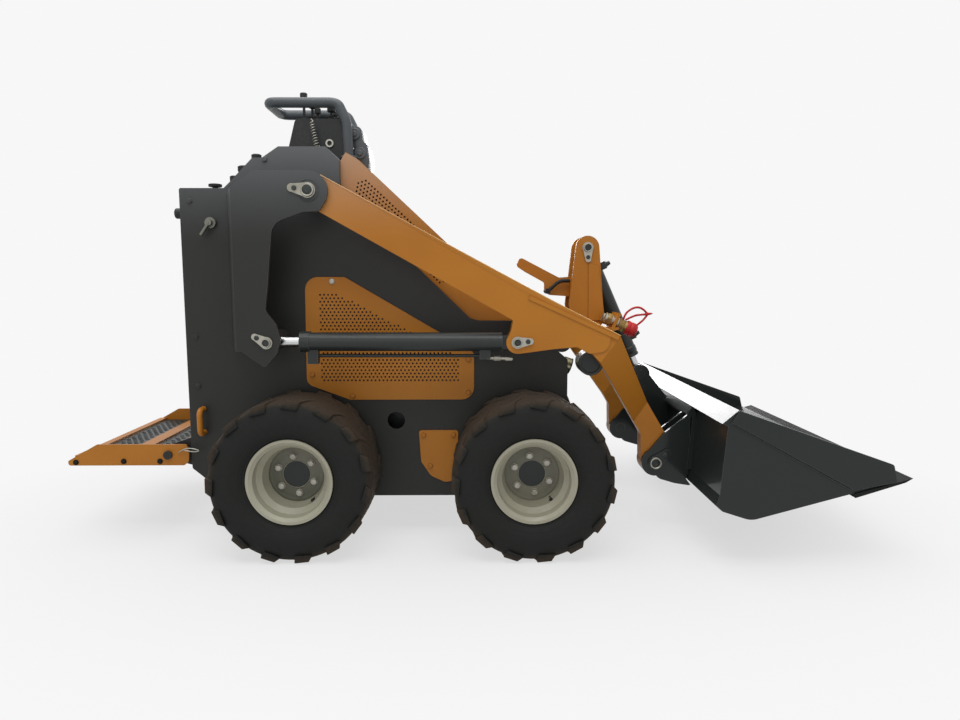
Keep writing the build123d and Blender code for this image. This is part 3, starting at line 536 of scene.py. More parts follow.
# One tyre is modelled about the origin with its axle along Y, then copied to each wheel.
tyreSettings = {
    "steps": 90, "lugs": 15, "radius": 0.2344, "baseRadius": 0.207, "lean": -6.7, "stagger": 0.25,
    # Rows are radius and distance from the middle, from the bead out to the crown.
    "half": [
        (0.1085, 0.0895), (0.1225, 0.0895), (0.1252, 0.0925), (0.1300, 0.0935), (0.1322, 0.0965),
        (0.1400, 0.1000), (0.1425, 0.1020), (0.1455, 0.1022), (0.1475, 0.1034), (0.1580, 0.1066),
        (0.1690, 0.1076), (0.1800, 0.1070), (0.1930, 0.1052), (0.2140, 0.1005), (0.2215, 0.0955),
        (0.2252, 0.0870), (0.2272, 0.0660), (0.2282, 0.0350), (0.2285, 0.0),
    ],
    # Rows are forward place, distance from the middle and half width of a lug's run.
    "lugRun": [
        (-0.034, 0.1045, 0.0250), (-0.030, 0.0880, 0.0245), (-0.010, 0.0560, 0.0210),
        (0.018, 0.0230, 0.0180), (0.035, 0.0050, 0.0140),
    ],
    "topScale": (0.80, 0.965, 1.0), "topMiddle": 0.053, "crownHalf": 0.024, "crownRise": 0.0034,
    "endStep": (0, 0.0030, -0.0070), "endScale": (0.8, 1.0, 0.6), "endMiddle": (-0.034, 0.1075, 0.006),
    "soften": 0.0022, "mudFrom": 0.196, "mudDepth": 0.036,
}


def makeLug(settings):
    run = settings["lugRun"]
    base = settings["baseRadius"]
    front = [(u + half, y, base) for u, y, half in run]
    back = [(u - half, y, base) for u, y, half in reversed(run)]
    lug = drawLine("lug", front + back, closed=True)
    reach = max(abs(u) + half for u, y, half in run)
    top = math.sqrt(settings["radius"] ** 2 - reach ** 2)
    editAll(lug)
    extrudeBy((0, 0, top - base))
    bpy.ops.transform.resize(value=settings["topScale"], center_override=(0, settings["topMiddle"], top))
    leaveEdit()
    mergeAndFace(lug)
    # The crown of the top rises with the tread's own curve.
    selectIn(lug, "VERT", lambda point: point.z > top - 0.001 and abs(point.x) < settings["crownHalf"])
    bpy.ops.transform.translate(value=(0, 0, settings["crownRise"]))
    # The outer end reaches down the shoulder.
    selectIn(lug, "FACE", lambda centre, normal: normal.y > 0.8)
    extrudeBy(settings["endStep"])
    x, y, above = settings["endMiddle"]
    bpy.ops.transform.resize(value=settings["endScale"], center_override=(x, y, base + above))
    leaveEdit()
    mergeAndFace(lug)
    roundEdges(lug, settings["soften"], 2, 25)
    return lug


def makeTyre(settings):
    half = settings["half"]
    ring = [(r, -y) for r, y in half] + [(r, y) for r, y in reversed(half[:-1])]
    body = turned("tyreBody", ring, settings["steps"], closed=True)
    body.data.transform(Matrix.Rotation(math.radians(-90), 4, "X"))
    lug = makeLug(settings)
    mirrored = copied(lug, "lugMirrored", Matrix.Scale(-1, 4, (0, 1, 0)))
    pieces = [body]
    pitch = 2 * math.pi / settings["lugs"]
    for side, source in ((1, lug), (-1, mirrored)):
        for i in range(settings["lugs"]):
            angle = pitch * (i + side * settings["stagger"]) + math.radians(settings["lean"])
            pieces.append(copied(source, f"lug{side}{i}", Matrix.Rotation(angle, 4, "Y")))
    discard(lug, mirrored)
    tyre = joined("tyreTemplate", pieces)
    # How far each point stands out from the axle, for the mud on the tread.
    tread = tyre.data.attributes.new("tread", "FLOAT", "POINT")
    for point, value in zip(tyre.data.vertices, tread.data):
        out = math.hypot(point.co.x, point.co.z) - settings["mudFrom"]
        value.value = min(1.0, max(0.0, out / settings["mudDepth"]))
    return tyre


tyreTemplate = makeTyre(tyreSettings)
for wheel in wheels:
    tyre = copied(tyreTemplate, f"treadedTyre_{wheel}", Matrix.Translation(centreOf(f"tyre_{wheel}")))
    finished(tyre, f"wheel_{wheel}", "tyre_rubber", f"tyre_{wheel}", angle=32)
discard(tyreTemplate)
print("stage: tyres modelled")

# One hexagon head on a washer is copied wherever a bolt stands. Rim, crown and dish are shares of the head.
boltSettings = {"rim": 0.16, "crown": 0.12, "dish": 0.30, "dishDepth": 0.10, "washer": 0.0018, "lip": 0.0012}


def makeBolt(across, height, washer):
    radius = across / math.sqrt(3)
    head = hexagon("boltHead", radius, height)
    selectIn(head, "FACE", lambda centre, normal: normal.z > 0.9)
    bpy.ops.mesh.inset(thickness=radius * boltSettings["rim"])
    bpy.ops.transform.translate(value=(0, 0, height * boltSettings["crown"]))
    bpy.ops.mesh.inset(thickness=radius * boltSettings["dish"])
    extrudeBy((0, 0, -height * boltSettings["dishDepth"]))
    leaveEdit()
    thick = boltSettings["washer"]
    rows = [(0, 0), (washer, 0), (washer, boltSettings["lip"]), (washer * 0.94, thick), (0, thick)]
    return joined("bolt", [head, turned("boltWasher", rows, 20)])


# Rows: place, outward axis, turn.
def boltSet(name, body, slotName, source, rows):
    bolts = [copied(source, f"{name}{i}", aim(*row)) for i, row in enumerate(rows)]
    finished(joined(name, bolts), body, slotName, angle=30)


# The disc inside each rim, in the rim's paint darkened as painted shade. Rows are radius and distance
# outwards.
discSettings = {
    "rows": [(0.0405, 0.0), (0.0405, 0.0022), (0.0425, 0.0036), (0.0660, 0.0036), (0.0690, 0.0030),
             (0.0715, 0.0036), (0.0790, 0.0036), (0.0818, 0.0024), (0.0826, 0.0)],
    "outwards": 0.0079,
}
disc = turned("disc", discSettings["rows"], 48, closed=True)
for wheel in wheels:
    middle = centreOf(f"tyre_{wheel}")
    side = Vector((0, 1 if middle.y > 0 else -1, 0))
    plateDisc = copied(disc, f"wheelDisc_{wheel}", aim(middle + side * discSettings["outwards"], side))
    finished(plateDisc, f"wheel_{wheel}", "rim_paint", look=shadedRimDisc)
discard(disc)

wheelSettings = {
    "bolts": 6, "circle": 0.0545, "first": 98.0, "boltSize": (0.0165, 0.0080, 0.0110), "outwards": 0.0113,
    "valve": [(0, 0), (0.0085, 0), (0.0078, 0.004), (0.0048, 0.006), (0.0042, 0.018), (0.0050, 0.019),
              (0.0050, 0.026), (0.0040, 0.027), (0, 0.027)],
    "valveTurn": -52.0, "valveCircle": 0.0900, "valveOutwards": 0.020, "valveLean": 0.25,
}


# A step from the axle, by its angle in degrees and its length.
def spoke(degrees, length):
    turn = math.radians(degrees)
    return Vector((math.cos(turn), 0, math.sin(turn))) * length


wheelBolt = makeBolt(*wheelSettings["boltSize"])
valve = turned("valve", wheelSettings["valve"], 20)
for wheel in wheels:
    middle = centreOf(f"tyre_{wheel}")
    axis = Vector((0, 1 if middle.y > 0 else -1, 0))
    rows = []
    for i in range(wheelSettings["bolts"]):
        angle = wheelSettings["first"] + 360 / wheelSettings["bolts"] * i
        place = middle + spoke(angle, wheelSettings["circle"]) + axis * wheelSettings["outwards"]
        rows.append((place, axis, math.radians(angle)))
    boltSet(f"wheelBolts_{wheel}", f"wheel_{wheel}", "bright_steel", wheelBolt, rows)
    around = spoke(wheelSettings["valveTurn"], wheelSettings["valveCircle"])
    lean = axis - around.normalized() * wheelSettings["valveLean"]
    foot = middle + around + axis * wheelSettings["valveOutwards"]
    finished(copied(valve, f"wheelValve_{wheel}", aim(foot, lean)), f"wheel_{wheel}", "black_rubber")
discard(valve, wheelBolt)
print("stage: wheel bolts and valves set")


# A perforated sheet is a six-sided tile with a round hole, repeated over a field.
def makeTile(pitch, hole):
    tile = startFrom("tile", "circle", vertices=6, radius=pitch / math.sqrt(3), fill_type="NGON")
    bpy.ops.object.mode_set(mode="EDIT")
    bpy.ops.mesh.select_mode(type="FACE")
    bpy.ops.mesh.select_all(action="SELECT")
    bpy.ops.mesh.subdivide(number_cuts=1)
    bpy.ops.mesh.inset(thickness=pitch / 2 - hole)
    bpy.ops.transform.tosphere(value=1.0)
    leaveEdit()
    inner = [face for face in tile.data.polygons if len(face.vertices) > 4][0]
    reach = tile.data.vertices[inner.vertices[0]].co.length
    selectIn(tile, "FACE", lambda centre, normal: centre.length < 1e-5)
    bpy.ops.transform.resize(value=(hole / reach, hole / reach, 1.0), center_override=(0, 0, 0))
    leaveEdit()
    return tile


def insideField(x, z, corners):
    sign = None
    for (x0, z0), (x1, z1) in zip(corners, corners[1:] + corners[:1]):
        cross = (x1 - x0) * (z - z0) - (z1 - z0) * (x - x0)
        if sign is None:
            sign = cross > 0
        elif (cross > 0) != sign:
            return False
    return True


# The tile stands wherever its middle falls inside one of the fields.
def layTiles(settings):
    pitch = settings["pitch"]
    tile = makeTile(pitch, settings["hole"])
    slope = math.radians(settings.get("slope", 0.0))
    along = Vector((math.cos(slope), math.sin(slope)))
    across = Vector((-along.y, along.x))
    start = Vector(settings["start"])
    tiles = []
    searched = 1.2
    span = int(searched / pitch)
    for row in range(-span, span):
        for column in range(-span, span):
            step = column + 0.5 * (row % 2)
            spot = start + along * (step * pitch) + across * (row * pitch * math.sqrt(3) / 2)
            for field in settings["fields"]:
                if insideField(spot.x, spot.y, field):
                    place = Matrix.Translation((spot.x, spot.y, 0)) @ Matrix.Rotation(slope, 4, "Z")
                    tiles.append(copied(tile, f"tile{row}_{column}", place))
    discard(tile)
    return tiles


# The sheet lies in X and Y and is placed by the matrix; its thickness goes to local -Z.
def perforatedSheet(name, settings, matrix):
    tiles = layTiles(settings)
    edges = []
    for outline in settings["outlines"]:
        corners = [(x, y, 0) for x, y in roundedOutline(outline)]
        edges.append(drawLine(name + "Edge", corners + corners[:1]))
    sheet = joined(name, edges + tiles)
    editAll(sheet)
    bpy.ops.mesh.remove_doubles(threshold=2e-5)
    # The sheet between the tiles and the outline is filled, then the tiles' twelve-sided middles go.
    bpy.ops.mesh.select_mode(type="EDGE")
    bpy.ops.mesh.select_all(action="DESELECT")
    bpy.ops.mesh.select_non_manifold(extend=False, use_wire=True, use_boundary=True, use_multi_face=False,
                                     use_non_contiguous=False, use_verts=False)
    bpy.ops.mesh.fill()
    bpy.ops.mesh.select_mode(type="FACE")
    bpy.ops.mesh.select_all(action="DESELECT")
    bpy.ops.mesh.select_face_by_sides(number=12)
    bpy.ops.mesh.delete(type="FACE")
    bpy.ops.mesh.select_all(action="SELECT")
    bpy.ops.mesh.normals_make_consistent(inside=False)
    leaveEdit()
    if sheet.data.polygons[0].normal.z < 0:
        sheet.data.flip_normals()
    useModifier(sheet, "SOLIDIFY", thickness=settings["thickness"], offset=-1.0)
    sheet.data.transform(matrix)
    if matrix.determinant() < 0:
        sheet.data.flip_normals()
    return sheet


# Pitch, hole radius and thickness of each sheet, the depth of the dark sheet of painted shade behind it, and
# its outlines in x and z.
sideGrille = {
    "pitch": 0.0119, "hole": 0.0029, "thickness": 0.0030, "start": (-0.430, 0.4875), "shadeSheetDepth": 0.0036,
    "fields": [[(-0.436, 0.750), (-0.388, 0.750), (-0.021, 0.556), (-0.021, 0.484), (-0.436, 0.484)]],
    "outlines": [[(-0.480, 0.798, 0.038), (-0.362, 0.798, 0.020), (0.023, 0.572, 0.020),
                  (0.023, 0.428, 0.038), (-0.353, 0.428, 0.020), (-0.483, 0.476, 0.026)]],
}
hoodSide = {
    "pitch": 0.0119, "hole": 0.0029, "thickness": 0.0046, "start": (-0.300, 1.070), "shadeSheetDepth": 0.0062,
    "slope": -42.9,
    "fields": [[(-0.331, 1.050), (-0.322, 1.081), (-0.297, 1.090), (-0.020, 0.830), (-0.075, 0.772),
                (-0.290, 0.975)]],
    "outlines": [[(-0.372, 1.138, 0.004), (-0.357, 1.165, 0.010), (-0.319, 1.143, 0.060), (0.190, 0.667),
                  (0.035, 0.667), (0.011, 0.674), (-0.372, 1.046)]],
}
upright = Matrix.Rotation(math.radians(90), 4, "X")
panelSettings = {"proud": 0.0002, "shadeSheetSpread": 1.05, "shadeSheetThickness": 0.0010}


def sidePair(name, node, settings):
    outside = boxOf(node)[0].y + panelSettings["proud"]
    right = perforatedSheet(name + "_right", settings, Matrix.Translation((0, outside, 0)) @ upright)
    left = copied(right, name + "_left", Matrix.Scale(-1, 4, (0, 1, 0)))
    return [right, left]


# Behind the holes lies a dark sheet, painted shade for the unlit inside of the body, so that nothing shines
# through.
panels = (("ventPanel", "side_grilles", sideGrille), ("hoodFlank", "hood_sides", hoodSide))
for name, node, settings in panels:
    for panel in sidePair(name, node, settings):
        finished(panel, "chassis", "orange_paint", node, angle=25)
    low, high = boxOf(node)
    field = settings["fields"][0]
    middle = (sum(x for x, z in field) / len(field), sum(z for x, z in field) / len(field))
    spread = panelSettings["shadeSheetSpread"]
    wider = [(middle[0] + (x - middle[0]) * spread, middle[1] + (z - middle[1]) * spread) for x, z in field]
    for inwards, edge, tag in ((1, low.y, "right"), (-1, high.y, "left")):
        back = plate(f"{name}ShadeSheet_{tag}", wider, edge + inwards * settings["shadeSheetDepth"],
                     inwards * panelSettings["shadeSheetThickness"], 0)
        finished(back, "chassis", "black_rubber")
print("stage: perforated panels modelled")

# The platform's two mesh sheets lie behind and before its cross strip.
deckLow, deckHigh = boxOf("platform_deck")
deckSettings = {
    "pitch": 0.021, "hole": 0.0080, "thickness": 0.0035, "start": (deckLow.x + 0.02, deckLow.y + 0.02),
    "runs": ((deckLow.x, deckLow.x + 0.108), (deckHigh.x - 0.073, deckHigh.x)),
    "clearance": 0.0005, "rimX": 0.016, "rimY": 0.02, "fields": [], "outlines": [],
}
for x0, x1 in deckSettings["runs"]:
    y0, y1 = deckLow.y + deckSettings["clearance"], deckHigh.y - deckSettings["clearance"]
    deckSettings["outlines"].append([(x0, y0), (x1, y0), (x1, y1), (x0, y1)])
    x2, x3 = x0 + deckSettings["rimX"], x1 - deckSettings["rimX"]
    y2, y3 = y0 + deckSettings["rimY"], y1 - deckSettings["rimY"]
    deckSettings["fields"].append([(x2, y2), (x3, y2), (x3, y3), (x2, y3)])
deck = perforatedSheet("meshDeck", deckSettings, Matrix.Translation((0, 0, deckHigh.z)))
finished(deck, "platform", "black_paint", "platform_deck", angle=25)
print("stage: platform deck modelled")

# A bright ring stands round each pin end, whose black disc is painted shade for the dark recess inside the
# ring, and a small bolt sits near the flag's tip.
pinSettings = {
    # Rows: radius as a share of the pin's, and distance outwards.
    "ring": [(0.74, 0.0), (1.04, 0.0), (1.04, 0.0050), (0.97, 0.0068), (0.84, 0.0070), (0.76, 0.0058)],
    "end": [(0, 0.0052), (0.20, 0.0052), (0.24, 0.0058), (0.66, 0.0058), (0.73, 0.0050), (0.73, 0.0)],
    "boltAlong": 1.75, "boltTurn": 0.4, "boltSize": (0.0105, 0.0050, 0.0070),
    # Rows: body, centre, pin radius, face of the flag, the way the flag points, head radius, sides.
    "pins": [
        ("chassis", (-0.431, 1.033), 0.0175, 0.436, (-1, 0.15), 0.021, (-1, 1)),
        ("chassis", (-0.558, 0.614), 0.0125, 0.436, (-1, 0.55), 0.017, (-1, 1)),
        ("boom", (0.146, 0.613), 0.0125, 0.420, (1, 0.1), 0.017, (-1, 1)),
        ("boom", (0.399, 0.895), 0.0140, 0.062, (0.05, -1), 0.018, (-1,)),
        ("bucket", (0.582, 0.229), 0.0175, 0.2905, (1, 0.9), 0.022, (-1, 1)),
    ],
}
flagBolt = makeBolt(*pinSettings["boltSize"])
for i, (body, (x, z), radius, face, way, head, shown) in enumerate(pinSettings["pins"]):
    rings, ends, rows = [], [], []
    ring = turned("pinRing", [(r * radius, along) for r, along in pinSettings["ring"]], 32, closed=True)
    end = turned("pinShadeDisc", [(r * radius, along) for r, along in pinSettings["end"]] + [(0, 0)], 32)
    for side in shown:
        axis = Vector((0, side, 0))
        place = Vector((x, side * face, z))
        rings.append(copied(ring, f"ring{side}", aim(place, axis)))
        ends.append(copied(end, f"end{side}", aim(place, axis)))
        reach = Vector((way[0], 0, way[1])).normalized() * head * pinSettings["boltAlong"]
        rows.append((place + reach, axis, pinSettings["boltTurn"]))
    discard(ring, end)
    finished(joined(f"pinRings_{i}", rings), body, "bright_steel")
    # Painted shade: the black pin ends stand for the dark recess inside each ring.
    finished(joined(f"pinShadeDiscs_{i}", ends), body, "black_paint")
    boltSet(f"flagBolts_{i}", body, "black_paint", flagBolt, rows)
discard(flagBolt)
print("stage: pins dressed")

# Bolts that stand on both sides of the machine, and on its rear door.
plateSettings = {
    "boltSize": (0.0125, 0.0052, 0.0085),
    # Rows: name, body, finish, distance from the middle, turn from bolt to bolt, x and z of each bolt.
    "rows": [
        ("coverBolts", "chassis", "orange_paint", 0.289, 0.7,
         [(-0.132, 0.318), (-0.041, 0.319), (-0.040, 0.196), (-0.112, 0.222)]),
        ("grilleBolt", "chassis", "bright_steel", 0.290, 0.7, [(-0.400, 0.785)]),
        ("grilleBolts", "chassis", "orange_paint", 0.290, 0.7,
         [(-0.465, 0.505), (-0.345, 0.440), (0.006, 0.450), (0.006, 0.552)]),
        ("bodyBolts", "chassis", "grey_paint", 0.285, 0.7,
         [(-0.588, 1.139), (-0.812, 1.020), (-0.812, 0.470), (-0.812, 0.620), (-0.640, 0.300)]),
        ("railBolts", "platform", "worn_steel", 0.296, 0.4,
         [(-1.190, 0.237), (-1.045, 0.240), (-0.935, 0.240)]),
    ],
    "doorInset": (0.012, 0.03, 0.04), "doorTurn": 0.5,
}
plateBolt = makeBolt(*plateSettings["boltSize"])
for name, body, slotName, face, turn, spots in plateSettings["rows"]:
    rows = [(Vector((x, side * face, z)), Vector((0, side, 0)), turn * k)
            for side in (-1, 1) for k, (x, z) in enumerate(spots)]
    boltSet(name, body, slotName, plateBolt, rows)
# The door's bolts stand near its corners, on its own face.
doorLow, doorHigh = boxOf("rear_door")
depth, insetY, insetZ = plateSettings["doorInset"]
spots = [(doorLow.x + depth, y, z) for y in (doorLow.y + insetY, doorHigh.y - insetY)
         for z in (doorLow.z + insetZ, doorHigh.z - insetZ)]
rows = [(Vector(spot), Vector((-1, 0, 0)), plateSettings["doorTurn"] * k) for k, spot in enumerate(spots)]
boltSet("doorBolts", "chassis", "bright_steel", plateBolt, rows)
discard(plateBolt)
print("stage: bolts set")

# The lever's return spring: a coil that widens towards its foot, with a straight lead at each end.
springSettings = {
    "top": (-0.490, -0.100, 1.285), "foot": (-0.475, -0.100, 1.211), "turns": 9, "perTurn": 8, "wire": 0.0012,
    "radius": 0.0072, "slim": 0.95, "flare": 0.35, "lead": 0.010, "tail": 0.012,
    "ring": [(0.0075, -0.002), (0.0125, -0.002), (0.0132, 0.0), (0.0125, 0.002), (0.0075, 0.002)],
    "ringPlace": (-0.438, -0.0835, 1.223),
}


def coilPoints(settings):
    top, foot = Vector(settings["top"]), Vector(settings["foot"])
    axis = (foot - top).normalized()
    across = axis.cross(Vector((0, 1, 0))).normalized()
    other = axis.cross(across)
    points = [top - axis * settings["lead"]]
    steps = settings["turns"] * settings["perTurn"]
    for i in range(steps + 1):
        turn = 2 * math.pi * i / settings["perTurn"]
        width = settings["slim"] + settings["flare"] * i / steps
        out = (across * math.cos(turn) + other * math.sin(turn)) * settings["radius"] * width
        points.append(top + (foot - top) * i / steps + out)
    return points + [foot + axis * settings["tail"]]


spring = softBar("leverSpring", coilPoints(springSettings), springSettings["wire"], detail=2)
finished(spring, "chassis", "bright_steel")
ring = turned("pivotRing", springSettings["ring"], 28, closed=True)
finished(copied(ring, "springRing", aim(springSettings["ringPlace"], (0, -1, 0))), "chassis", "bright_steel")
discard(ring)
print("stage: spring and ring modelled")

# The handle stands on two feet on the console and closes behind the pod.
# Painted light: the handle and valve block take a pale grey for the haze and glare high on the machine.
hazeLitGrey = paint("hazeLitGrey", screen(78, 82, 86), screen(120, 122, 122), paintSettings["black"])
handleSettings = {
    "route": [(-0.378, 1.185), (-0.381, 1.288), (-0.410, 1.348), (-0.631, 1.348)], "across": 0.085,
    "radius": 0.0165, "bend": 0.060, "footPlace": (-0.378, 1.1765),
    "foot": [(0, 0), (0.026, 0), (0.026, 0.004), (0.021, 0.0075), (0.0165, 0.008), (0, 0.008)],
}
route, across = handleSettings["route"], handleSettings["across"]
points = [(x, -across, z) for x, z in route] + [(x, across, z) for x, z in reversed(route)]
parts = [bentBar("handleLoop", points, handleSettings["bend"], handleSettings["radius"])]
foot = turned("foot", handleSettings["foot"], 28)
x, z = handleSettings["footPlace"]
parts += [copied(foot, f"foot{y}", aim((x, y, z), (0, 0, 1))) for y in (-across, across)]
discard(foot)
finished(joined("handleLoop", parts), "chassis", "black_paint", "handle_bar", angle=50, look=hazeLitGrey)

# The valve block is two rounded lobes, one above the other, with round caps on both sides.
valveSettings = {
    "lobes": [(-0.3915, 1.178), (-0.3915, 1.268, 0.006), (-0.372, 1.285, 0.012), (-0.341, 1.279, 0.016),
              (-0.335, 1.236), (-0.322, 1.224, 0.010), (-0.315, 1.172, 0.016), (-0.322, 1.142)],
    "half": 0.060, "soften": 0.0030, "capPlaces": ((-0.362, 1.256), (-0.345, 1.196)), "capFace": 0.0595,
    "cap": [(0, 0), (0.0190, 0), (0.0190, 0.006), (0.0168, 0.0085), (0.0095, 0.0085), (0.0090, 0.0125),
            (0.0070, 0.0140), (0, 0.0140)],
    "link": [(-0.392, -0.0835, 1.222), (-0.372, -0.0835, 1.212), (-0.362, -0.0835, 1.204)],
    "linkBend": 0.006, "linkRadius": 0.0042,
}
half = valveSettings["half"]
lobes = roundedOutline(valveSettings["lobes"])
parts = [plate("valveLobes", lobes, -half, 2 * half, valveSettings["soften"])]
cap = turned("cap", valveSettings["cap"], 28)
for x, z in valveSettings["capPlaces"]:
    for side, tag in bothSides:
        parts.append(copied(cap, f"cap{x}{tag}", aim((x, side * valveSettings["capFace"], z), (0, side, 0))))
discard(cap)
finished(joined("valveLobes", parts), "chassis", "black_paint", "valve_block", look=hazeLitGrey)
link = bentBar("valveLink", valveSettings["link"], valveSettings["linkBend"], valveSettings["linkRadius"])
finished(link, "chassis", "bright_steel")
print("stage: handle and valve block modelled")

# Couplers: grooved sleeves over the rings, a hex behind them and a red dust cap on its strap.
couplerSettings = {
    "slope": -24.3, "rear": (0.444, 0, 0.669), "places": (-0.142, -0.098), "sleeveAlong": 0.046,
    "sleeve": [(0.0172, 0.0), (0.0188, 0.0012), (0.0188, 0.008), (0.0178, 0.0095), (0.0178, 0.012),
               (0.0190, 0.0135), (0.0190, 0.018), (0.0180, 0.0195), (0.0180, 0.022), (0.0190, 0.0235),
               (0.0190, 0.034), (0.0172, 0.0355)],
    "nut": (0.0205, 0.014), "nutSoften": 0.0012, "nutAlong": 0.007, "nutTurn": 0.3,
}
dustCapSettings = {
    "along": 0.0738, "strapRadius": 0.0034, "tipRadius": 0.0052, "tipWidths": [1.0, 0.9, 0.25],
    "shell": [(0.0150, 0.0), (0.0225, 0.0), (0.0238, 0.0020), (0.0238, 0.0090), (0.0222, 0.0105),
              (0.0222, 0.0135), (0.0236, 0.0155), (0.0240, 0.0220), (0.0226, 0.0300), (0.0182, 0.0358),
              (0.0105, 0.0382), (0.0, 0.0386)],
    # Each run of the strap, as x and z in the outer coupler's plane.
    "bands": [
        [(0.502, 0.651), (0.506, 0.678), (0.530, 0.698), (0.551, 0.703), (0.569, 0.695), (0.582, 0.679),
         (0.592, 0.681)],
        [(0.511, 0.661), (0.537, 0.675), (0.560, 0.678), (0.577, 0.679)],
        [(0.582, 0.679), (0.570, 0.661), (0.551, 0.647), (0.545, 0.640)],
    ],
    "tip": [(0.575, 0.679), (0.588, 0.681), (0.598, 0.682)],
}
slope = math.radians(couplerSettings["slope"])
couplerAxis = Vector((math.cos(slope), 0, math.sin(slope)))
couplerRear = Vector(couplerSettings["rear"])
sleeve = turned("sleeve", couplerSettings["sleeve"], 36, closed=True)
nut = hexagon("couplerNut", *couplerSettings["nut"])
roundEdges(nut, couplerSettings["nutSoften"])
sleeves, nuts = [], []
for y in couplerSettings["places"]:
    start = couplerRear + Vector((0, y, 0))
    sleevePlace = start + couplerAxis * couplerSettings["sleeveAlong"]
    nutPlace = start + couplerAxis * couplerSettings["nutAlong"]
    sleeves.append(copied(sleeve, f"sleeve{y}", aim(sleevePlace, couplerAxis)))
    nuts.append(copied(nut, f"nut{y}", aim(nutPlace, couplerAxis, couplerSettings["nutTurn"])))
discard(sleeve, nut)
brass = metal("dirtyBrass", screen(150, 124, 78), screen(70, 56, 38), 0.38, stain=0.7)
finished(joined("couplerSleeves", sleeves), "boom", "bright_steel", look=brass)
finished(joined("couplerNuts", nuts), "boom", "bright_steel", look=brass)
outer = couplerSettings["places"][0]
shell = turned("shell", dustCapSettings["shell"], 40)
capPlace = couplerRear + Vector((0, outer, 0)) + couplerAxis * dustCapSettings["along"]
parts = [copied(shell, "capShell", aim(capPlace, couplerAxis))]
discard(shell)
for i, band in enumerate(dustCapSettings["bands"]):
    parts.append(softBar(f"strap{i}", [(x, outer, z) for x, z in band], dustCapSettings["strapRadius"]))
tip = [(x, outer, z) for x, z in dustCapSettings["tip"]]
parts.append(softBar("strapTip", tip, dustCapSettings["tipRadius"], radii=dustCapSettings["tipWidths"]))
finished(joined("dustCapAndStrap", parts), "boom", "red_plastic", "dust_cap")
print("stage: couplers and dust cap modelled")

# The cross beam's round ends, each with a raised rim, stand out under the arms' elbows.
beamSettings = {
    "end": [(0, 0.0), (0.026, 0.0), (0.028, 0.0035), (0.0335, 0.0045), (0.0360, 0.0020), (0.0365, -0.0200),
            (0.0365, -0.0640), (0, -0.0640)],
    "place": (0.364, 0.3600, 0.547),
}
beamEnd = turned("beamEnd", beamSettings["end"], 44)
x, y, z = beamSettings["place"]
ends = [copied(beamEnd, f"stub{tag}", aim((x, side * y, z), (0, side, 0))) for side, tag in bothSides]
discard(beamEnd)
finished(joined("beamEnds", ends), "boom", "black_paint")
print("stage: beam ends modelled")

# The tilt cylinder's barrel, with its eye, weld, gland, port blocks and fittings.
tiltTop, tiltLow, rodShown = Vector((0.399, 0, 0.895)), Vector((0.590, 0, 0.470)), 0.064
tiltEnd = (tiltLow - tiltTop).length - rodShown
tiltSettings = {
    "tube": [(0.0, 0.020), (0.0160, 0.020), (0.0160, 0.034), (0.0190, 0.038), (0.0275, 0.041),
             (0.0275, 0.054), (0.0265, 0.058), (0.0262, tiltEnd - 0.034), (0.0280, tiltEnd - 0.032),
             (0.0280, tiltEnd - 0.014), (0.0266, tiltEnd - 0.012), (0.0266, tiltEnd - 0.009),
             (0.0280, tiltEnd - 0.007), (0.0280, tiltEnd - 0.001), (0.0268, tiltEnd), (0.0150, tiltEnd),
             (0.0146, tiltEnd - 0.003), (0.0146, 0.060), (0.0, 0.060)],
    "eye": [(0.0143, -0.0200), (0.0265, -0.0200), (0.0280, -0.0188), (0.0280, 0.0188), (0.0265, 0.0200),
            (0.0143, 0.0200)],
    "block": (0.026, 0.024, 0.022), "blockSoften": 0.0016, "blockOut": 0.031,
    "fitting": [(0, 0), (0.0098, 0), (0.0098, 0.0065), (0.0078, 0.0075), (0.0078, 0.0125), (0.0064, 0.0135),
                (0.0064, 0.0180), (0, 0.0180)],
    "fittingOut": 0.040, "ports": (0.078, tiltEnd - 0.065),
}
tiltAxis = (tiltLow - tiltTop).normalized()
tiltUp = Vector((-tiltAxis.z, 0, tiltAxis.x))
tube = turned("tube", tiltSettings["tube"], 48)
eye = turned("eye", tiltSettings["eye"], 40, closed=True)
block = startFrom("portBlock", "cube", size=1)
block.data.transform(Matrix.Diagonal((*tiltSettings["block"], 1)))
roundEdges(block, tiltSettings["blockSoften"])
fitting = turned("portFitting", tiltSettings["fitting"], 24)
parts = [copied(tube, "tiltTube", aim(tiltTop, tiltAxis)), copied(eye, "tiltEye", aim(tiltTop, (0, 1, 0)))]
lay = Matrix((tiltAxis, (0, 1, 0), tiltUp)).transposed().to_4x4()
for port in tiltSettings["ports"]:
    place = tiltTop + tiltAxis * port
    blockPlace = Matrix.Translation(place + tiltUp * tiltSettings["blockOut"])
    parts.append(copied(block, f"tiltBlock{port}", blockPlace @ lay))
    fittingPlace = aim(place + tiltUp * tiltSettings["fittingOut"], tiltUp)
    parts.append(copied(fitting, f"tiltFitting{port}", fittingPlace))
discard(tube, eye, block, fitting)
finished(joined("tiltBarrelShell", parts), "tilt_barrel", "black_paint", "tilt_barrel")
print("stage: tilt barrel modelled")

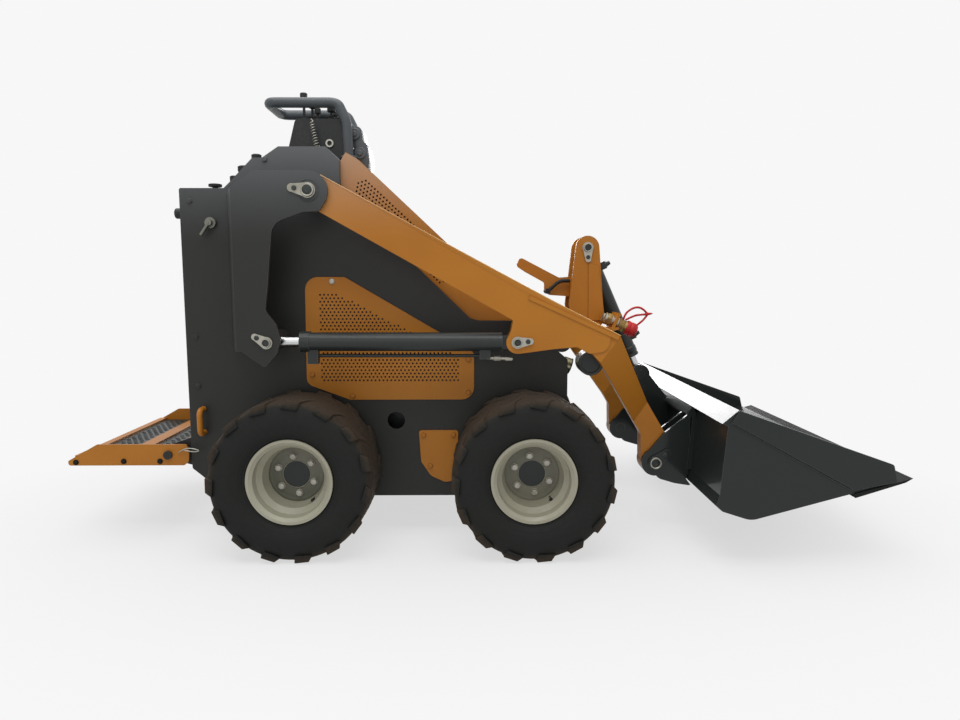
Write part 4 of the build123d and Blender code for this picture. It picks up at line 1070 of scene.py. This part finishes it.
# A fitting stands on each lift barrel's front port, and its hose starts forward towards the body.
fittingSettings = {
    "hose": [(0.060, 0.389, 0.5660), (0.100, 0.389, 0.5645), (0.134, 0.389, 0.5640)], "hoseRadius": 0.0055,
    "nut": (0.0085, 0.020), "nutSoften": 0.0008,
    # Rows: x, distance from the middle and z of each nut, its axis and its turn.
    "nuts": [(0.080, 0.389, 0.5655, (1, 0, -0.03), 0.3), (0.112, 0.389, 0.5642, (1, 0, -0.03), 0.0)],
}
nut = hexagon("hoseNut", *fittingSettings["nut"])
roundEdges(nut, fittingSettings["nutSoften"])
for side, tag in bothSides:
    hose = [(x, side * y, z) for x, y, z in fittingSettings["hose"]]
    parts = [softBar(f"nozzle{tag}", hose, fittingSettings["hoseRadius"])]
    for x, y, z, axis, turn in fittingSettings["nuts"]:
        parts.append(copied(nut, f"nut{x}{tag}", aim((x, side * y, z), axis, turn)))
    finished(joined(f"liftFitting_{tag}", parts), f"lift_barrel_{tag}", "bright_steel")
discard(nut)
print("stage: lift fittings modelled")

# A closed wedge carries each arm's full depth towards the elbow, with a bead along its outer top edge whose
# pale paint is a painted highlight.
armEdgeSettings = {
    # Rows: x, z and the radius of a rounded corner; the first four run along the upper edge.
    "wedge": [(-0.400, 1.0772), (0.187, 0.760, 0.10), (0.417, 0.6445), (0.4385, 0.6330), (0.4360, 0.6285),
              (0.177, 0.7455), (-0.395, 1.0712)],
    "inner": 0.3636, "width": 0.0508, "soften": 0.0012,
    "beadPlace": 0.4136, "beadDrop": 0.0012, "beadRadius": 0.0017,
}
# Painted highlight: the bead's pale orange stands in for the light line along the arm's top edge.
armEdgeHighlight = paint("armEdgeHighlight", screen(214, 166, 104), screen(150, 110, 70), paintSettings["orange"])
wedge = armEdgeSettings["wedge"]
for side, tag in bothSides:
    inner, width = side * armEdgeSettings["inner"], side * armEdgeSettings["width"]
    edge = plate(f"armEdge_{tag}", roundedOutline(wedge, 8), inner, width, armEdgeSettings["soften"])
    finished(edge, "boom", "orange_paint")
    beadY, drop = side * armEdgeSettings["beadPlace"], armEdgeSettings["beadDrop"]
    run = [(row[0], beadY, row[1] - drop) for row in wedge[:4]]
    bead = softBar(f"armBead_{tag}", run, armEdgeSettings["beadRadius"])
    finished(bead, "boom", "orange_paint", look=armEdgeHighlight)
print("stage: arm edges modelled")

# A lens ring stands on each lamp's drum.
lampSettings = {
    "slope": 20, "place": (0.307, 0.235, 0.528), "along": 0.0130,
    "rim": [(0.0230, 0.0), (0.0250, 0.0), (0.0256, 0.0015), (0.0250, 0.0034), (0.0215, 0.0036)],
}
slope = math.radians(lampSettings["slope"])
lampAxis = Vector((math.cos(slope), 0, -math.sin(slope)))
lens = turned("lens", lampSettings["rim"], 40, closed=True)
x, y, z = lampSettings["place"]
rings = []
for side, tag in bothSides:
    place = Vector((x, side * y, z)) + lampAxis * lampSettings["along"]
    rings.append(copied(lens, f"lens{tag}", aim(place, lampAxis)))
discard(lens)
finished(joined("lampRims", rings), "chassis", "black_plastic")
print("stage: lamp rims modelled")

# Gauges with their bezels and a key switch on the console's slope, and upright knobs beside them.
consoleSettings = {
    "slope": 45, "place": (-0.660, 1.108),
    # Rows: y and radius of each gauge.
    "gauges": ((0.0, 0.040), (-0.110, 0.030), (0.110, 0.030)),
    "switchPlace": 0.200,
    "switch": [(0, 0), (0.0165, 0), (0.0165, 0.004), (0.0125, 0.006), (0.0125, 0.0115), (0.010, 0.013),
               (0, 0.013)],
    # Rows: x, radius and top of each upright knob.
    "knobs": ((-0.637, 0.014, 1.168), (-0.673, 0.020, 1.133), (-0.707, 0.012, 1.104)),
    # The slope's own height where x is nought, from which each knob's foot is found.
    "slopeHeight": 1.768, "knobPlace": -0.200, "knobHead": 0.018, "stemShare": 0.72, "knobSoften": 0.003,
}


def bezelRows(radius):
    return [(radius - 0.006, 0.0), (radius + 0.003, 0.0), (radius + 0.003, 0.0045), (radius, 0.0075),
            (radius - 0.004, 0.0070), (radius - 0.006, 0.0045)]


def dialRows(radius):
    return [(0, 0), (radius - 0.005, 0), (radius - 0.005, 0.0032), (0.004, 0.0032), (0.003, 0.0055),
            (0, 0.0058)]


def knobRows(radius, tall, settings):
    stem, head, soften = radius * settings["stemShare"], settings["knobHead"], settings["knobSoften"]
    return [(0, 0), (stem, 0), (stem, tall - head - 0.002), (radius, tall - head), (radius, tall - soften),
            (radius - soften, tall), (0, tall)]


slope = math.radians(consoleSettings["slope"])
slopeAxis = Vector((-math.sin(slope), 0, math.cos(slope)))
consoleX, consoleZ = consoleSettings["place"]
bezels, dials = [], []
for y, radius in consoleSettings["gauges"]:
    bezel = turned("bezel", bezelRows(radius), 44, closed=True)
    dial = turned("dial", dialRows(radius), 36)
    bezels.append(copied(bezel, f"bezel{y}", aim((consoleX, y, consoleZ), slopeAxis)))
    dials.append(copied(dial, f"dial{y}", aim((consoleX, y, consoleZ), slopeAxis)))
    discard(bezel, dial)
switch = turned("switch", consoleSettings["switch"], 28)
switchPlace = (consoleX, consoleSettings["switchPlace"], consoleZ)
dials.append(copied(switch, "keySwitch", aim(switchPlace, slopeAxis)))
discard(switch)
for x, radius, top in consoleSettings["knobs"]:
    low = consoleSettings["slopeHeight"] + x - radius
    knob = turned("knob", knobRows(radius, top - low, consoleSettings), 28)
    dials.append(copied(knob, f"knob{x}", aim((x, consoleSettings["knobPlace"], low), (0, 0, 1))))
    discard(knob)
finished(joined("gaugeBezels", bezels), "chassis", "black_plastic")
finished(joined("dialsAndKnobs", dials), "chassis", "black_plastic", "console_gauges")


# Each rib's thickness and length are shares of the cap's radius and height.
ribSettings = {"fuelCap": (-0.802, -0.100, 1.083), "fuelCapSize": (0.0188, 0.010, 18), "knobRibs": 14,
               "knobShare": 0.98, "thick": 0.10, "long": 0.8}


# A cap's ribs: one bar beside the upright axis, copied round it.
def ribbedCap(name, place, radius, height, count):
    thick, tall = radius * ribSettings["thick"], height * ribSettings["long"]
    rib = startFrom("rib", "cylinder", vertices=8, radius=thick, depth=tall, location=(radius, 0, height / 2))
    stand = aim(place, (0, 0, 1))
    ribs = [copied(rib, f"{name}{i}", stand @ Matrix.Rotation(2 * math.pi * i / count, 4, "Z"))
            for i in range(count)]
    discard(rib)
    finished(joined(name, ribs), "chassis", "black_plastic")


ribbedCap("fuelCapRibs", ribSettings["fuelCap"], *ribSettings["fuelCapSize"])
for i, (x, radius, top) in enumerate(consoleSettings["knobs"]):
    head = consoleSettings["knobHead"]
    place = (x, consoleSettings["knobPlace"], top - head)
    ribbedCap(f"knobRibs_{i}", place, radius * ribSettings["knobShare"], head, ribSettings["knobRibs"])
print("stage: gauges and knobs modelled")

# A rubber boot folded in rings stands under each lever.
bootSettings = {
    "places": ((-0.536, 0.0), (-0.500, -0.038), (-0.500, 0.038), (-0.440, -0.030), (-0.440, 0.030)),
    "foot": 1.3005,
    "rows": [(0, 0), (0.0190, 0), (0.0195, 0.0025), (0.0165, 0.0045), (0.0175, 0.0070), (0.0140, 0.0090),
             (0.0150, 0.0115), (0.0110, 0.0135), (0.0115, 0.0160), (0.0070, 0.0185), (0, 0.0190)],
}
boot = turned("boot", bootSettings["rows"], 28)
for i, (x, y) in enumerate(bootSettings["places"]):
    piece = copied(boot, f"leverBoot_{i}", aim((x, y, bootSettings["foot"]), (0, 0, 1)))
    finished(piece, "chassis", "black_rubber", angle=50)
discard(boot)
print("stage: boots modelled")

# Weld beads at the elbow, along the bucket's heel and round the arm pivots.
weldSettings = {
    "step": 0.006, "narrow": 0.72, "end": 0.7, "radius": 0.0028,
    "elbow": [(0.385, 0.2745, 0.556), (0.436, 0.2745, 0.628)],
    "heel": [(0.7125, 0.5462, 0.4055), (1.0480, 0.5462, 0.2215)],
    "pivot": (-0.431, 0.4305, 1.033), "pivotCircle": 0.030, "pivotSteps": 16, "pivotRadius": 0.0016,
}


# A thin bar whose width swells and shrinks along its run.
def weld(name, points, radius, body, slotName):
    rows, widths = [], []
    for start, end in zip(points, points[1:]):
        start, end = Vector(start), Vector(end)
        count = max(2, int((end - start).length / weldSettings["step"]))
        for k in range(count):
            rows.append(start.lerp(end, k / count))
            widths.append(1.0 if k % 2 else weldSettings["narrow"])
    rows.append(Vector(points[-1]))
    widths.append(weldSettings["end"])
    finished(softBar(name, rows, radius, radii=widths, detail=2), body, slotName, angle=60)


for side, tag in bothSides:
    radius, circle, steps = weldSettings["radius"], weldSettings["pivotCircle"], weldSettings["pivotSteps"]
    elbow = [(x, side * y, z) for x, y, z in weldSettings["elbow"]]
    heel = [(x, side * y, z) for x, y, z in weldSettings["heel"]]
    weld(f"elbowWeld_{tag}", elbow, radius, "boom", "orange_paint")
    weld(f"heelWeld_{tag}", heel, radius, "bucket", "black_paint")
    x, y, z = weldSettings["pivot"]
    turns = [k * 2 * math.pi / steps for k in range(steps + 1)]
    around = [(x + circle * math.cos(turn), side * y, z + circle * math.sin(turn)) for turn in turns]
    weld(f"pivotWeld_{tag}", around, weldSettings["pivotRadius"], "chassis", "grey_paint")
print("stage: welds laid")

# A wire clip keeps the platform's hinge pin.
clipSettings = {
    "points": [(-0.876, -0.299, 0.268), (-0.864, -0.305, 0.277), (-0.846, -0.306, 0.283),
               (-0.826, -0.306, 0.281), (-0.808, -0.305, 0.275), (-0.822, -0.304, 0.271),
               (-0.842, -0.303, 0.272), (-0.860, -0.302, 0.277)],
    "wire": 0.0016,
}
clip = softBar("retainerClip", clipSettings["points"], clipSettings["wire"], detail=4)
finished(clip, "chassis", "bright_steel")
print("stage: clip modelled")


cameraSettings = {"place": (0.020, -2.360, 0.792), "down": 6.695, "turn": 0.577, "lens": 25.875, "sensor": 36}


def addCamera(settings):
    data = bpy.data.cameras.new("camera")
    data.lens = settings["lens"]
    data.sensor_width = settings["sensor"]
    data.clip_start = 0.01
    camera = bpy.data.objects.new("camera", data)
    bpy.context.scene.collection.objects.link(camera)
    camera.location = settings["place"]
    camera.rotation_euler = (math.radians(90 - settings["down"]), 0, -math.radians(settings["turn"]))
    bpy.context.scene.camera = camera


# Rows: name, place, aim, size, power in watts, and whether it shows in reflections only.
lamps = (
    ("overhead", (-0.4, -0.4, 4.0), (0, 0, 0.5), (4.5, 3.5), 112, False),
    ("frontFill", (-1.6, -4.6, 2.4), (0, 0, 0.6), (3, 2), 13, False),
    ("highStrip", (-0.3, -2.0, 3.2), (0, -0.3, 0.6), (3, 0.15), 16, False),
    ("backShine", (0.31, 3.56, 1.72), (0.7, 0, 0.4), (3.2, 1.1), 90, True),
)


def addLight(name, place, target, size, power, onlyShine):
    data = bpy.data.lights.new(name, "AREA")
    data.shape = "RECTANGLE"
    data.size, data.size_y = size
    data.energy = power
    lamp = bpy.data.objects.new(name, data)
    bpy.context.scene.collection.objects.link(lamp)
    lamp.location = place
    lamp.rotation_euler = (Vector(target) - Vector(place)).to_track_quat("-Z", "Y").to_euler()
    lamp.visible_camera = False
    lamp.visible_diffuse = not onlyShine


backdrop = screen(247, 247, 247)
floorSettings = {"size": 60, "drop": 0.0005, "matte": screen(226, 226, 226), "squash": (0.85, 1.25, 1.0),
                 "fade": (0.75, 1.75), "nearGlow": 0.68}


# Near the machine the floor takes its shadow; further out it fades to the plain background.
def addFloor(settings):
    bpy.ops.mesh.primitive_plane_add(size=settings["size"], location=(0, 0, -settings["drop"]))
    floor = bpy.context.object
    floor.name = "floor"
    s = Shader(bpy.data.materials.new("paleFloor"))
    seen = s.rays("Is Camera Ray", "Is Glossy Ray", "Is Transmission Ray")
    where = s.stretched(s.place(), settings["squash"])
    away = s.node("ShaderNodeVectorMath", {"operation": "LENGTH"}, {0: where}, out="Value")
    plain = away.ramp(*settings["fade"]) * (1 - settings["nearGlow"]) + settings["nearGlow"]
    matte = s.node("ShaderNodeBsdfDiffuse", {}, {"Color": settings["matte"]})
    glow = s.node("ShaderNodeEmission", {}, {"Color": backdrop, "Strength": 1.0})
    mixed = s.node("ShaderNodeMixShader", {}, {0: seen * plain, 1: matte, 2: glow})
    s.node("ShaderNodeOutputMaterial", {}, {"Surface": mixed})
    floor.data.materials.append(s.owner)


# The world lights the object dimly, and the camera and polished metal see the plain background.
def addWorld():
    world = bpy.data.worlds.new("studio")
    bpy.context.scene.world = world
    s = Shader(world)
    seen = s.rays("Is Camera Ray", "Is Glossy Ray")
    dim = s.node("ShaderNodeBackground", {}, {"Color": screen(250, 250, 252), "Strength": 0.46})
    bright = s.node("ShaderNodeBackground", {}, {"Color": backdrop})
    mixed = s.node("ShaderNodeMixShader", {}, {0: seen, 1: dim, 2: bright})
    s.node("ShaderNodeOutputWorld", {}, {"Surface": mixed})


addCamera(cameraSettings)
for lamp in lamps:
    addLight(*lamp)
addFloor(floorSettings)
addWorld()
bpy.context.scene.view_settings.view_transform = "Standard"
print("stage: camera, lights and floor set")
